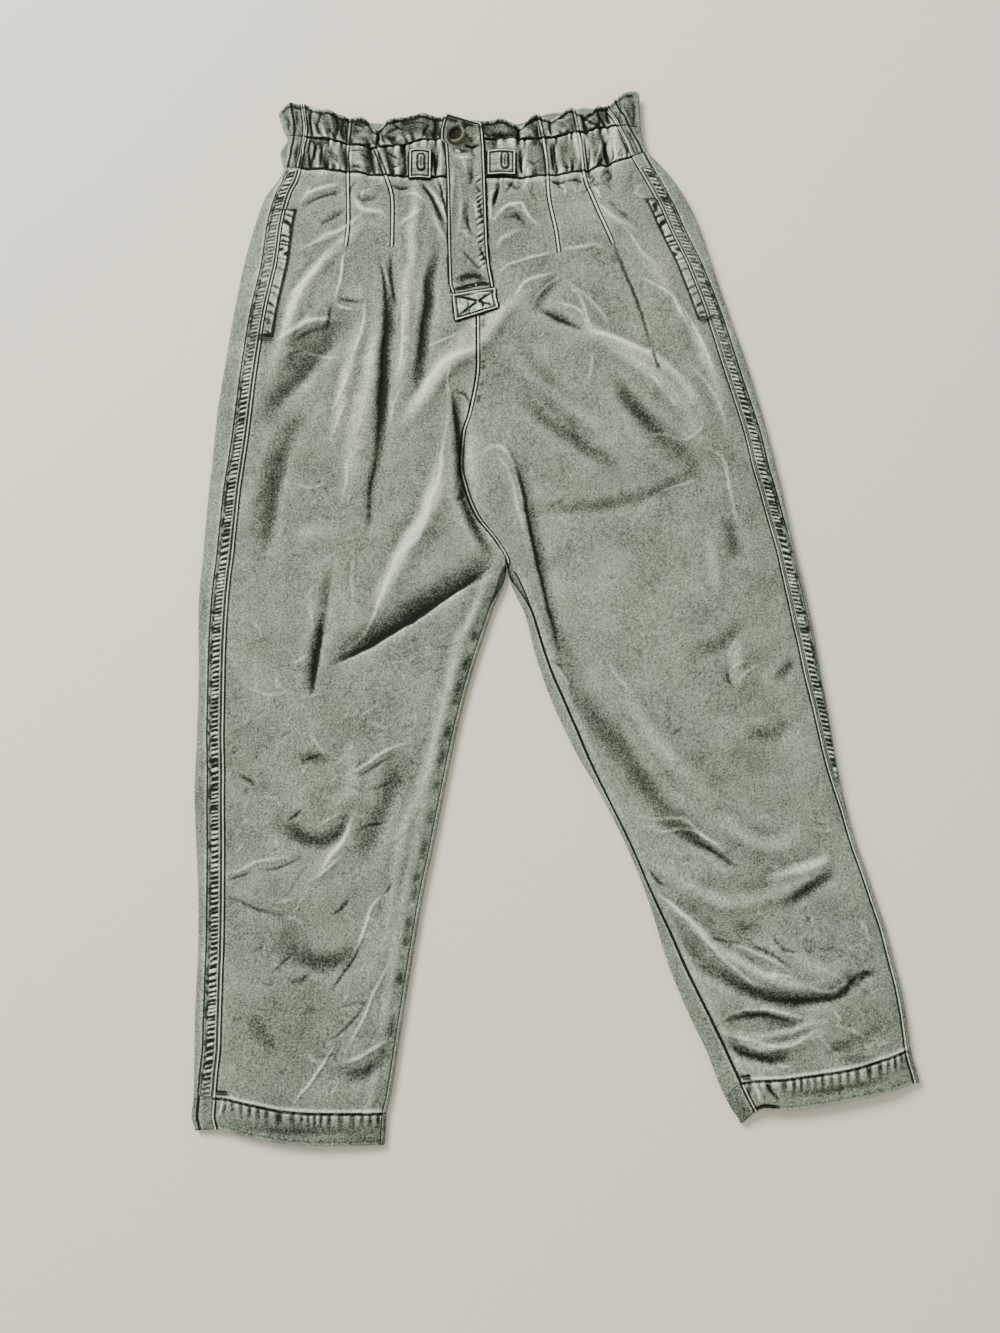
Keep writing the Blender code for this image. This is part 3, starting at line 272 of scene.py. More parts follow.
# Folds of the cloth: rise, reach on the left and on the right of the line's
# way (once, if they are the same), how crisp it is, how much paler (+) or
# darker (-) the line is painted, and the line: its first point and next steps.
# The darker tone is painted shade in and beside a fold, and the paler tone is
# painted highlight on its ridge, with some fading by rubbing.
CREASES = fold_rows("""
# below the casing
-1.6 4 3 .3 -.7  -144,388 9,-4 10,2
1.4 4 .1 .4  -135,377 15,0 10,-9
-1.6 4 5 .2 -.5  -114,390 9,-15 6,-19 7,-12
1.8 3 .5 .7  -110,390 10,-18 7,-16 4,-14
-2 2 .7 -1  -105,394 8,-17 5,-14 2,-14
1.2 4 .1 .35  -106,363 7,-19 9,-19
1.4 4 5 .4 .5  -235,368 8,11 15,5 19,6
-1.2 6 4 .1 -.4  -231,363 10,9 22,7 9,3
1.4 5 .2 .45  -221,325 12,7 17,7 15,14 6,5
-1.2 6 0 -.35  -213,344 12,9 11,10
1.4 6 .1 .45  -180,382 2,-14 7,-8 15,-2 8,-9
-1.2 6 0 -.3  -182,377 10,-5 15,3
1.2 5 .1 .4  -137,344 11,9 12,10
-2 3 4 .3 -.9  10,396 6,-4 7,-2 7,3
1.6 4 .2 .5  20,393 5,-9 2,-8
1.6 3 .5 .8  42,397 5,-1 5,-4
-1.6 3 .4 -.8  29,392 8,1 7,-3
-1.8 3 .4 -.7  -41,392 -1,-13 -2,-18
1.4 3 .4 .6  -46,381 -1,-18 1,-18
-1.2 5 .1 -.35  -36,392 10,-3 7,-8
1.6 5 4 .4 .55  -46,345 8,12 11,9 11,1 9,-17 11,-7
-1.2 6 0 -.3  -36,350 14,5 9,-15
1 5 .1 .35  55,371 12,-13 9,-8 14,-7 6,-5
-1 6 0 -.25  67,373 14,-15 13,-8
1.4 3 .5 .5  53,389 5,-8 4,-10
1.2 5 .1 .35  20,317 18,3 16,4 12,-4
1.2 5 .1 .35  -40,317 4,13 9,5 10,5
# left front, down to the crotch
-2.6 4.6 .9 -1.15  -148,261 0,-26 -1,-28 -1,-27 -2,-39 -2,-23
-1.2 3 6 .5 -.45  -153,129 -3,-34 -3,-30 0,-37
-1.2 3 .8 -.8  -154,306 4,-23 2,-24 0,-13
-1.2 3 .8 -.8  -144,316 1,-29 5,-29
.8 2.5 .7 .4  -150,302 5,-23 2,-18
1 3 .8 .5  -168,267 -1,-20 -5,-28 -6,-27
.9 3 .8 .4  -180,192 -7,-20 -9,-21
.8 3 .8 .35  -184,164 -6,-23 -6,-23
.7 2.5 .8 .35  -181,107 0,-23 -5,-28
.7 2.5 .8 .3  -172,24 -2,-26 3,-29 0,-25
.8 2.5 .8 .4  -132,263 1,-32 -2,-28 -4,-19
.7 2.5 .8 .35  -130,178 -8,-22 -5,-23
-1.4 6 3 .6 -.45  -107,308 -4,-45 -3,-44 -5,-33
1.4 3 .9 .7  -189,320 -2,-24 -4,-21 -2,-13
1 3 .9 .6  -197,262 6,-5 12,-2
-1.4 4 .6 -.55  -194,266 12,-2 13,-2
-1.2 4 3 .7 -.5  -199,261 -4,-17 -5,-10
1.5 4 6 .8 .55  -196,249 -12,-4 -15,-3 -16,-11 -16,-12
-1.2 8 4 .3 -.22  -193,242 -26,-8 -25,-16
1 3 4 .8 .4  -205,318 -8,-18 -15,-25 -10,-28
.8 3 .8 .35  -210,298 -21,-19 -14,-16
.8 2.5 .9 .4  -229,213 15,-3 15,-4 12,1
1 3 .8 .35  -192,333 -20,-5 -13,-6 -12,-7
1.6 4 .7 .5  -59,214 -17,-5 -15,-12 -13,-17 -6,-13
.9 3 .8 .4  -85,199 -2,-19 3,-18
.8 3 .8 .3  -71,234 -15,-8 -14,-7 -13,-6
-2.8 4 .9 -1.2  -82,173 1,-20 3,-20 2,-19 2,-32
-2.6 6 .9 -1.2  -77,131 2,-23 0,-22
-1.4 3 .7 -.7  -82,173 11,-4 7,-17
-1.4 4 .6 -.7  -73,83 -1,-14 -8,-5
1.4 3.5 4 .8 .6  -83,164 -7,-38 -3,-38 -9,-27 -10,-33 -20,-20 -9,-24 -14,-38 -17,-20 -20,-13
.7 2.5 .8 .4  -102,58 -14,-30 -19,-33 -11,-38
-1.8 3 8 .8 -.8  -55,-5 -28,-22 -32,-22 -34,-21 -45,-24
-2 3 5 .8 -.9  -202,-48 1,-19 -2,-24 -4,-30
.7 3 .8 .3  -212,-22 2,-23 3,-22
.7 3 .8 .35  -266,-49 10,-9 2,-10
.8 3 .8 .28  -229,82 12,-7 18,5
.7 2.5 .8 .3  -229,-90 10,2 12,7
1.2 4 .8 .5  -56,106 11,10 13,-4 9,-17 4,-19 5,-19
# left leg below the crotch
.8 3 .8 .35  -208,-151 7,-11 9,-12
1.2 3 .8 .5  -172,-190 13,8 17,11 27,11
-1 4 3 .7 -.4  -166,-192 14,8 21,11
-1 4 .6 -.5  -271,-191 9,-4 9,-7
-1.2 3 .8 -.55  -225,-231 6,4 8,7
1.4 3 4 .8 .5  -196,-277 12,16 9,13 10,25
1 3 .8 .45  -279,-276 12,1 12,7 15,4 20,2
-1 3 4 .7 -.5  -277,-283 10,3 12,5
-.9 3 .7 -.4  -248,-275 14,3 14,5 10,6
-1 3 4 .7 -.45  -275,-296 18,-8 17,-6 21,-3
.8 3 .8 .4  -233,-302 9,2 10,1
.8 3 .8 .35  -226,-313 11,-3 9,-5
.8 3 .8 .35  -199,-237 13,8 10,7
-.9 3 .8 -.45  -162,-239 11,5 17,2
-.9 3 .8 -.4  -155,-202 10,1 12,6
1 3 .8 .4  -209,-285 14,6 13,11 9,7
-1.1 3 4 .8 -.55  -182,-312 8,8 6,6
1.5 3 .8 .55  -169,-356 8,17 7,16 6,17 10,15
-1.3 4 3 .7 -.5  -182,-379 8,13 8,13 8,19
-1.2 3 .8 -.6  -137,-294 3,5 2,5
1.3 3 .8 .45  -170,-428 9,16 8,17 8,19 10,20 5,10
-1 3 .7 -.4  -183,-416 12,9 10,10 10,15
1.6 3 .9 .6  -211,-468 9,13 8,11 7,10 9,15
.9 3 .8 .45  -200,-425 4,-7 8,-1
1.2 4 3 .8 .5  -175,-435 15,4 16,8 18,10
-.9 3 .8 -.4  -234,-358 8,5 9,9
-.9 4 .6 -.4  -217,-368 9,2 10,5
.7 3 .8 .3  -269,-110 18,-8 13,-1 12,5
.7 3 .8 .3  -237,-98 -3,-10 8,-7
.7 3 .8 .28  -157,-142 15,-7 10,4
# right front, down to the crotch
1.3 3 .8 .5  -40,292 10,10 12,5 17,4 18,5
1.2 3 4 .8 .45  -25,266 7,13 11,9 26,7
1 3 4 .8 .35  -10,252 7,16 10,12 16,10
.9 3 .7 .35  -42,355 12,10 14,-5 10,-9
-1.2 3 4 .8 -.6  72,326 14,-39 10,-29 5,-19 7,-27
-1.6 3 .9 -.8  107,214 4,-12 4,-9
1 2.5 .8 .5  105,188 8,-8 6,-11
1 2.5 .8 .45  121,166 5,-6 4,-6
2 4 5 .7 .55  47,234 21,-8 21,-9 19,-7
1.2 3 .8 .4  30,281 11,-15 5,-18 3,-14
1 3 4 .7 .32  24,287 20,-16 18,-21 6,-21
1.4 3 .8 .45  16,263 14,-4 11,-6 5,-17
-1.4 4 .5 -.4  0,254 22,-9 21,-11
.9 3 .8 .35  51,212 -1,-16 -7,-18
.9 3 .7 .3  70,352 16,-13 17,-26 17,-13
1.1 3 4 .7 .4  90,292 18,-8 19,-13 11,-21 11,-22
1 3 .7 .35  134,266 15,-29 10,-25 7,-25
1 3 .7 .35  140,202 15,-18 14,-25 10,-32
1 3 .8 .4  147,117 11,-2 11,-8 5,-11 4,-28 4,-23 3,-16
.9 3 .8 .35  135,123 8,4 11,11
.8 3 .7 .3  100,61 13,11 19,6 20,8
.8 3 .7 .25  101,127 18,2 18,-6
-1.8 4 3 .9 -.95  -33,119 8,-16 8,-27 6,-31 7,-33 8,-40 6,-22 4,-24 2,-13
1.2 4 .5 .32  -41,111 13,-23 8,-32 8,-30
# right leg below the crotch
1 3 .8 .45  12,-91 10,-13 4,-15
-1 3 .6 -.5  7,-85 5,-3 7,-6
-1 3 4 .6 -.5  167,-97 1,-8 3,-6
.8 3 .8 .35  170,-96 6,3 11,6
.8 3 .8 .35  180,-63 -8,-14 -4,-9
-.8 3 .7 -.4  117,-157 5,5 6,4
.8 3 .8 .3  199,-91 -15,-9 -9,-15
.9 3 4 .8 .4  82,-224 16,-6 24,0 16,-13 23,-14
.8 3 .8 .28  56,-84 13,-20 16,-21
1 3 .8 .4  87,-234 19,-7 16,2 17,-5 13,-9 15,-15
-1.2 4 3 .7 -.5  129,-248 13,-6 15,-10 12,-8
-1.4 3 .8 -.7  91,-272 7,-7 8,-7
1.6 3 4 .9 .6  96,-291 13,-9 11,-12 13,-11 12,-8
-1 3 .8 -.55  144,-330 15,-4 14,-2
1 3 .8 .45  145,-333 18,-2 19,-8 16,-8 17,-13
-.9 3 .8 -.5  173,-333 16,-8 16,-11 7,-10
-.9 3 .8 -.5  196,-328 10,-14 16,-2
.9 3 .8 .4  187,-362 17,-1 14,-3
1.2 3 4 .8 .5  120,-318 16,-11 19,-20 23,-19 17,-5
1.2 3 .8 .45  226,-372 14,-4 10,1 11,6
-1.6 4 6 .6 -.6  184,-383 23,1 19,-1 27,4 11,11 11,7 19,3
-1 4 .6 -.45  265,-373 12,10 10,1
1 3 .8 .45  147,-402 16,9 17,2 16,0 23,-5 17,-4
-1.2 3 4 .8 -.35  151,-400 16,3 23,2 23,-5
1 3 .8 .5  147,-407 12,-5 20,-3 22,-6 17,6 18,10
.9 3 .8 .4  247,-403 11,-2 11,-5 8,-4
.8 3 .8 .4  245,-389 7,-10 -5,-6
-1.8 5 7 .6 -.45  153,-416 12,-8 13,-5 16,-3 14,5
1 3 .8 .4  195,-432 6,-4 10,1
.8 3 .8 .3  234,-415 16,-12 13,3
.8 3 .8 .28  270,-313 9,-10 3,-13
""")

# Broad soft folds, as the creases are given: painted shade over the broad hollows and painted
# highlight on the swells.
FOLDS = fold_rows("""
.6 34 0 .16  7,401 34,-33 39,-33 37,-48
# broad hollows and swells
-3 24 28 0 -.36  -176,261 -30,-31 -32,-41 -24,-56
-2 17 0 -.42  -222,158 -22,-45 -15,-58 -4,-49
-2 10 12 0 -.5  -143,319 -2,-84 -3,-72 -2,-89
-2 9 0 -.5  -100,335 -5,-58 -5,-63 -8,-51
1.6 9 0 .35  -165,352 -38,-38 -33,-48 -8,-46
1.6 14 0 .38  -149,266 -13,-72 -12,-71 -8,-64
1.2 9 0 .4  -119,404 -5,-74 -1,-64
2 15 0 .38  -33,266 -33,-36 -29,-36 -26,-56
1.8 18 0 .4  -80,108 -23,-53 -27,-49 -22,-47
-2.5 3 34 0 -.45  -27,6 -66,-37 -54,-38 -44,-23
-1.5 6 12 0 -.4  -194,6 -3,-47 -8,-46 -3,-32
-1.5 10 0 -.4  -76,179 3,-66 7,-58 19,-49
1.6 14 0 .35  20,248 57,-34 47,-40 31,-56
-1.2 20 0 -.26  -23,240 23,-56 38,-51 36,-49
-1 15 0 -.24  67,189 37,-56 36,-39 20,-22
-1.2 22 0 -.24  -10,50 13,-81 31,-84 35,-54 34,-53 52,-34 65,-2
1.6 12 0 .3  93,-263 60,-36 53,8 50,36
-.6 16 0 -.14  108,-303 43,-55 59,-24 52,12 34,22
-.4 12 14 0 -.12  156,-408 35,-19 27,-4
-1 14 0 -.32  242,-419 33,-16 20,-10
-.8 18 0 -.16  -236,-211 23,-32 26,-5 33,37
-1.2 22 0 -.26  -122,-169 -26,-61 -22,-56
-.6 16 0 -.14  -191,-449 39,14 31,30
-1 18 0 -.22  -232,-320 40,-29 38,-4
0 70 0 -.16  -211,-299 1,-91 1,-96
# left front
-1.6 8 14 0 -.3  -142,292 -6,-49 -1,-63 -3,-47 -4,-45 -3,-57
-2.2 14 0 -.26  -195,237 -12,-26 -25,-27 -21,-20 -10,-19
-1.6 12 0 -.3  -237,118 -6,-30 -6,-30 -11,-60
1.8 12 0 .3  -171,247 -9,-44 -9,-47 -2,-38
1.5 11 0 .25  -206,316 -25,-49 -17,-48 -9,-39
-1.4 10 7 0 -.28  -105,312 -6,-49 -4,-44 -5,-35 -9,-24
1.5 8 0 .26  -131,304 3,-45 -2,-48 -5,-39
2.6 12 0 .4  -13,279 -25,-30 -22,-32 -25,-16 -24,-33 -18,-27 -14,-10
-2.6 7 9 0 -.45  -80,172 2,-39 3,-30 2,-34 14,-34 18,-26
2.4 12 0 .36  -90,126 -5,-38 -12,-38 -19,-33 -14,-33 -12,-29
-4 3 24 .2 -.6  -41,5 -28,-20 -46,-33 -34,-21 -43,-24
-1.4 4 12 0 -.25  -202,-45 1,-36 -6,-40
1.2 16 0 .22  -233,28 28,7 25,-4
1.3 9 0 .28  -47,-16 -17,-29 -14,-29 -7,-46
-1.8 12 0 -.3  -238,-229 20,-14 25,-6 17,10 9,14
1.6 10 0 .28  -199,-279 15,18 14,20 6,19
-1.6 14 0 -.28  -235,-333 19,-13 23,-7 20,5 19,19
-1.3 14 0 -.24  -131,-178 -12,-52 -17,-35
-2.2 9 11 0 -.42  -170,-445 23,6 19,19
1.1 12 0 .2  -172,-160 1,-44 -26,-18
1.2 9 0 .26  -82,-87 -14,-66 -13,-53 -14,-38 -6,-35 -3,-34 -3,-40
-1.2 10 0 -.3  -215,-179 13,3 12,-7
-1 12 0 -.22  -250,-395 15,-20 10,-10
# right front
1.8 9 0 .32  41,241 38,-20 34,-17 26,-28 21,-41
-1.8 12 0 -.34  21,290 -18,-19 -12,-21
-1.6 9 0 -.3  -5,258 23,-10 27,-15
-1.5 13 0 -.27  -24,176 34,-37 33,-24 33,-23
1.3 12 0 .22  -24,208 38,-41 45,-32
-1.6 14 0 -.3  63,188 34,-37 33,-32 25,-27
-1.4 12 0 -.24  -25,53 62,5 65,12 53,28
1.2 12 0 .25  101,317 26,-42 22,-42 17,-49 13,-57
-1 9 0 -.22  123,283 19,-31 3,-27
-1.6 12 0 -.34  172,49 5,-20 3,-23
1 10 0 .22  155,37 4,-42 3,-23
-1.6 14 3 0 -.28  -32,115 15,-39 14,-64 7,-40 12,-57
-1.4 14 0 -.2  24,-108 32,-41 27,-37 20,-28 27,-23 15,-20
1.4 14 0 .2  65,-100 31,-53 36,-41 31,-24
-1.4 14 0 -.3  125,-85 19,8 20,7 22,21
1.2 12 0 .25  185,-70 -9,-21 3,-25
-1.5 7 9 0 -.3  208,-108 13,12 9,13
-1.2 14 0 -.25  182,-149 24,-6 17,18
1.6 12 0 .28  153,-224 30,-24 27,-3 21,17
-1.8 9 0 -.32  96,-224 26,-17 27,-17 19,-13
2.4 8 .2 .42  195,-284 20,9 21,7 20,7
-2.4 8 10 .1 -.4  207,-307 17,13 18,12 17,9
-2.6 12 10 0 -.42  110,-318 19,-27 26,-20 26,-12 22,-5 23,0 27,6 14,11 20,8
2 8 0 .32  97,-295 23,-18 26,-23 35,-22 33,-13 26,-5
1.2 12 0 .22  209,-342 32,-16 20,9
-1 10 0 -.2  163,-321 17,-2 13,-3
-1.6 6 8 .1 -.2  150,-399 27,4 25,-4 20,-2
1.6 6 .1 .32  147,-407 29,-5 29,3 23,7 24,3
-2.6 8 10 0 -.22  154,-415 21,-12 19,-3 17,6
1.4 7 0 .28  159,-412 29,-9 30,5 27,9
-1.2 10 0 -.22  237,-427 27,12 26,10
""")

# Folds of the hems, frill and casing, as the creases are given: painted shade in their folds
# and slits, with a painted shadow in the opening at the right hem's corner, and painted
# highlight on small ridges.
WAIST_FOLDS = fold_rows("""
# hems
1 3 .5 .6  -269,-464 -3,-6 -2,-7
-.8 8 0 -.35  -271,-480 26,-5 28,-3 28,0 37,2
-1.2 2.4 .6 -1.8  175,-471 8,3 6,0 9,-1
1.2 4 .3 .6  177,-448 3,-10 3,-9
-1.2 4 3 .3 -.8  185,-449 7,-9 5,-7
-.6 7 0 -.42  199,-459 28,2 28,4 42,9
# frill, left
-2.2 2 .6 -1.1  -231,474 3,-11 3,-18
-1.8 1.5 .8 -1.2  -192,457 1,-12 2,-12
-2 2 .6 -1  -162,455 3,-10 2,-11
-1.6 2 .6 -.9  -156,448 2,-11 3,-9
-2 1.6 .8 -1.2  -100,457 -1,-11 -1,-12
1.4 1.5 .6 .9  -96,461 0,-15 2,-12
-1.6 4 .2 -.6  -225,468 3,-11 6,-16
-1.4 3 .3 -.7  -210,451 7,-8 2,-8
1.2 3 .3 .35  -215,456 3,-11 3,-7
-1.4 3 .3 -.5  -204,467 6,-11 3,-16
-1.2 3 .3 -.6  -254,470 5,-9 -1,-16
-1 3 2 .3 -.6  -245,458 2,-7 -2,-8
-1.2 4 .2 -.5  -183,456 7,-1 11,-1
1.2 5 0 .3  -183,443 10,-1 8,1
-1.4 3 .4 -.6  -184,434 11,-2 11,3
-1.4 3 .3 -.6  -152,443 10,6 5,5
1.2 4 .1 .35  -148,437 16,3 13,3
-1.2 3 .3 -.55  -128,437 6,-3 5,-6
-1.2 3 .3 -.5  -145,431 9,3 8,0
-1 3 .3 -.4  -137,456 13,1 18,-5
-1.2 1.4 .8 -1  -235,476 4,-15 2,-18
1 1.4 .7 .8  -233,476 4,-15 2,-18
-1 1.4 .8 -.8  -241,474 0,-13 0,-16
# casing, left
-2.4 2.5 .5 -1.2  -224,440 3,-13 -5,-18
-2 2 .6 -1.1  -218,437 4,-12 -2,-18
1.6 2 .6 .8  -209,434 -3,-7 -1,-7
1.2 2 .5 .6  -229,440 1,-15 -2,-17
-1 3 .2 -.4  -210,425 7,-3 9,-8
1.2 6 5 0 .35  -207,417 9,-7 4,-5
-1.6 1.6 .8 -1.1  -189,428 0,-13 1,-14
1.2 1.5 .7 .8  -186,428 0,-13 1,-14
-1 3 .3 -.55  -182,425 7,-5 8,-3
1.2 4 .1 .4  -181,410 9,-1 6,4
-1.8 1.6 .8 -1.1  -165,427 1,-12 2,-15
1.2 1.4 .7 .7  -161,423 1,-10 1,-13
-1.8 1.8 .7 -1.1  -159,425 5,-15 7,-17
1.4 1.5 .7 .9  -157,420 6,-15 5,-13
-1.4 2 .5 -.8  -151,423 4,-13 2,-15
-1.2 3 .2 -.6  -145,422 7,-8 3,-9
1.2 4 .1 .4  -144,407 6,-4 5,-2
-1.6 1.8 .7 -1  -132,427 0,-14 2,-18
-1.4 2 .5 -.9  -99,427 -1,-14 -1,-17
1 1.6 .6 .6  -96,429 0,-16 0,-19
-1.2 1.4 .8 -1  -235,440 0,-15 -2,-19
1 1.4 .7 .8  -233,440 0,-15 -2,-19
-1.2 1.4 .8 -.9  -239,439 -1,-14 -1,-17
-1.4 3 .3 -.7  -252,437 -2,-12 3,-15
1 3 .2 .4  -247,437 -1,-12 1,-12
# frill, right
-1.4 2 .5 -.8  -20,450 0,-10 1,-8
-1.4 1.6 .7 -1  -2,457 2,-14 5,-18
1.2 1.4 .7 .8  0,458 2,-15 5,-17
-1.4 2.5 .4 -.8  7,452 2,-12 1,-9
-1.2 3 .3 -.6  -50,440 9,-2 15,-2
1.2 5 0 .3  -49,449 11,-2 12,1
-1.2 3 .3 -.6  -18,438 8,2 8,7
-1.2 3 .3 -.7  14,440 9,3 11,5
1.2 4 .1 .35  16,449 10,-1 8,5
-1.4 1.6 .7 -1  35,467 4,-14 4,-15
1.2 1.4 .7 .8  38,468 3,-15 5,-13
-1.8 2 .6 -1.1  43,468 11,-12 12,-7
1.4 2 .6 .7  45,461 4,-2 8,4
-1.4 2.5 .4 -.8  46,457 3,-6 -2,-8
-1.4 2 .6 -.9  67,471 3,-8 3,-8
-1.2 3 .3 -.6  58,465 6,-5 2,-8
-1.2 3 .4 -.7  86,480 2,-9 7,-8
-1.2 2 .5 -.8  94,484 6,-8 1,-13
-1 2 .5 -.7  76,472 3,-8 6,-7
# casing, right
-2 1.8 .6 -1.1  -15,424 -2,-14 2,-14
1.2 1.4 .7 .7  -13,422 -1,-12 1,-13
-1 3 .3 -.4  -10,415 5,-5 7,3
-1.4 1.6 .7 -1  4,432 3,-17 2,-19
1.2 1.4 .7 .8  7,433 2,-18 2,-18
-2.4 2.2 .5 -1.2  13,434 1,-16 2,-21
1.4 1.6 .6 .8  18,434 0,-16 1,-19
1.2 4 .1 .35  25,426 5,-16 5,-5
-1 3 .3 -.4  23,410 7,-4 8,-1
-1.4 1.6 .7 -1  42,437 2,-19 3,-18
1.2 1.4 .7 .8  44,437 3,-19 2,-16
-2 2 .6 -1  50,435 1,-15 0,-14
1.4 4 3 .3 .5  66,441 -5,-13 -5,-13 -4,-10
-2.2 3 2 .5 -1.1  71,441 -6,-15 5,-17
-1.4 2 .6 -.8  65,418 -6,-8 -6,-7
1.2 3 .3 .5  76,440 0,-14 2,-11
-1.2 1.4 .8 -1  79,448 7,-14 5,-14
1 1.4 .7 .7  81,449 7,-14 6,-14
-1 1.4 .8 -.8  87,453 8,-13 6,-17
""")

# Stitched darts: a narrow ridge with a sharp line on each side.
DARTS = (
    ((-187, 464), (-189, 430), (-188, 400), (-186, 345), (-188, 321)),
    ((-163, 432), (-151, 399), (-144, 376), (-143, 345), (-143, 321)),
    ((0, 464), (5, 442), (7, 425), (9, 402), (10, 377), (13, 358), (17, 339),
     (20, 315)),
    ((35, 472), (41, 442), (45, 402), (47, 391), (52, 377), (59, 358),
     (67, 339), (73, 324)),
)
DART_RISE, DART_REACH = 0.9, 1.5
DART_DIP, DART_LINE, DART_LINE_REACH = 0.5, 2.4, 1.5
FAR = 8.0               # distances to seams and darts are kept up to this

# Sharp creases at the tacks and of the casing and frill, as the creases are given; the dark
# lines of the casing and frill are painted shade in the slits between their gathers.
SLITS = fold_rows("""
# tacks
0 1.8 .9 -2.6  -278,-457 5,-1 6,0
0 1.8 .9 -2.6  165,-445 4,1 5,0
-2.2 2.6 .6 -.95  -226,441 -2,-16 4,-18
-1.5 2.2 .6 -.7  -217,440 -5,-15 4,-16
1.2 3 .6 .4  -215,434 -3,-15 -4,-11
-1.5 2.4 .6 -.6  -205,419 6,-4 4,-10
-2.4 2.4 .6 -1  -167,430 2,-15 2,-18
-2 2.2 .6 -.95  -162,430 5,-13 4,-18
-1.8 2.2 .6 -.9  -158,446 -2,-10 3,-6
-2.4 2.4 .6 -.95  -133,432 1,-13
-1.6 2.2 .6 -.8  -131,407 1,-9
-2.2 2.4 .6 -.95  -104,426 2,-13 0,-14
-1.6 2.2 .6 -.7  -118,393 9,-12 9,-16 8,-20
1.2 2.4 .6 .6  -107,397 7,-12 6,-14 3,-18
-1.6 2 .6 -.8  -100,397 4,-12 4,-20
1 2.2 .6 .6  -98,399 4,-12 3,-20
-2.6 2.6 .6 -1  -17,430 -1,-15 3,-16
-2.6 3 .6 -1  15,441 2,-21 3,-21
-2.6 2.8 .6 -1  46,443 2,-23 3,-25
-1.6 2.4 .6 -.7  61,430 -4,-11 -2,-10
-3 5 3 .4 -1  64,444 3,-18 3,-15
-2 3 .5 -.8  73,430 2,-9 -4,-12
-1.4 3 .5 -.6  83,428 -4,-9 8,4
-2 4 3 .4 -.85  -40,399 1,-12 -5,-20
-1.2 3 .5 -.5  -22,397 -6,-10 -4,-8
-1.2 3 .5 -.5  20,397 0,-10 8,-8
-1.4 3 2 .5 -.6  -189,425 10,0 8,-2
-1.4 3 .4 -.6  -186,409 9,-2 8,-6
-1.2 3 .4 -.55  -151,423 10,-6 5,-2
-1.2 3 .4 -.55  -145,407 6,0 3,4
# frill
-2.5 3 .5 -.9  -226,476 -2,-16 4,-16
-1.6 3 .5 -.7  -215,472 -5,-16 2,-14
1.4 3.5 .5 .4  -211,470 6,-16 0,-14
-1.6 3 .5 -.7  -202,468 3,-16 -4,-14
-2.6 3.4 .5 -.95  -194,464 -1,-14 2,-14
-3 3.4 .5 -1  -162,454 3,-10 -1,-12
-1.6 3 .4 -.75  -183,456 8,-4 4,-2
-2 6 5 .2 -.8  -153,442 8,-4 6,2
-1.4 3 .4 -.6  -145,454 8,-4 6,0
-1.4 2.6 .5 -.7  -115,436 2,10 4,8
-1.8 2.6 .5 -.85  -102,464 0,-12 -2,-14
-2 3 5 .3 -.65  -52,444 14,-2 14,2
-2.4 3 .5 -.9  -20,456 1,-10 0,-12
-2 4 .3 -.95  -16,438 8,2 10,4
-2 3 .5 -.85  12,464 0,-12 2,-12
-1.6 3 .4 -.6  -14,458 8,-2 8,4
1.2 3 .5 .3  14,460 12,-2 11,4
-2.4 3.5 .5 -.9  45,470 1,-12 3,-14
-1.8 4 .3 -.85  49,452 6,-2 6,6
-2 3 .5 -.85  59,472 2,-12 2,-14
-1.6 3 .5 -.8  71,480 -2,-12 2,-14
-2 3.5 .4 -.8  81,486 2,-12 -2,-12
1.6 4 .4 .3  89,488 0,-14 -2,-14
-1.8 4 .4 -.75  96,484 1,-14 -2,-14
""")

# Outline levels of the fly and the small pieces: y, then the two side x.
STRIP_LEVELS = ("y", "left_x", "right_x")
FLY_LEVELS = number_rows("""
271.5 -83.6 -43.5
281 -86.2 -44.6
295 -86.8 -47.2
316 -87.6 -49.6
350 -88.4 -51.2
386 -89.2 -52.4
424 -91.2 -53.7
431 -91.8 -54
436 -96.2 -54.4
445 -96.2 -55
455 -94.4 -56.4
466 -91.2 -57.6
""")
FLY_FOOT_RISE, FLY_TOP_RISE = 7.0, -11.5    # from the left side to the right
FLY_BASE_PATCH = (
    (243, -80.8, -39.2),
    (256, -82.0, -39.4),
    (270.2, -83.3, -42.0),
)
PATCH_FOOT_RISE, PATCH_TOP_RISE = 13.0, 7.0
TAB_LEFT = ((394, -127.2, -105.8), (424.4, -127.0, -105.6))
TAB_RIGHT = ((398, -50.0, -22.6), (424.4, -50.0, -22.4))
TAB_LEFT_HOLE = (-115.4, 410.1)
TAB_RIGHT_HOLE = (-32.8, 412.5)
FLY_HOLE = (-68.5, 438.5)
HOLE_HALF_LENGTH = 5.2
BUTTON_X, BUTTON_Y = -80.9, 438.4
BUTTON_DIAMETER = 19.0
BUTTON_TILT = 16.0

STRIP_WIDTH = 12.0
WELT_WIDTH = 13.0
STRIP_INSET = 0.8
EDGE_MARGIN = 2.2
LEFT_STRIP_Y = (-460.0, 406.0)
RIGHT_STRIP_Y = (-196.0, 408.0)
LEFT_POCKET_Y = (227.5, 362.0)
RIGHT_POCKET_Y = (246.0, 372.0)
OVERLAP_LOW_Y, OVERLAP_PEAK_Y, OVERLAP_TOP_Y = 6.0, 92.0, 160.0
OVERLAP_RISE = 4.0
OVERLAP_REACH = 40.0
LIP_DROP = 0.6
LIP_WIDTH = 6.0


def smoothstep(low, high, value):
    t = np.clip((value - low) / (high - low), 0.0, 1.0)
    return t * t * (3.0 - 2.0 * t)


def bump(distance, reach):
    """1 on a line and 0 at its reach, rounded."""
    u = np.minimum(np.abs(distance) / reach, 1.0)
    return 0.5 + 0.5 * np.cos(np.pi * u)


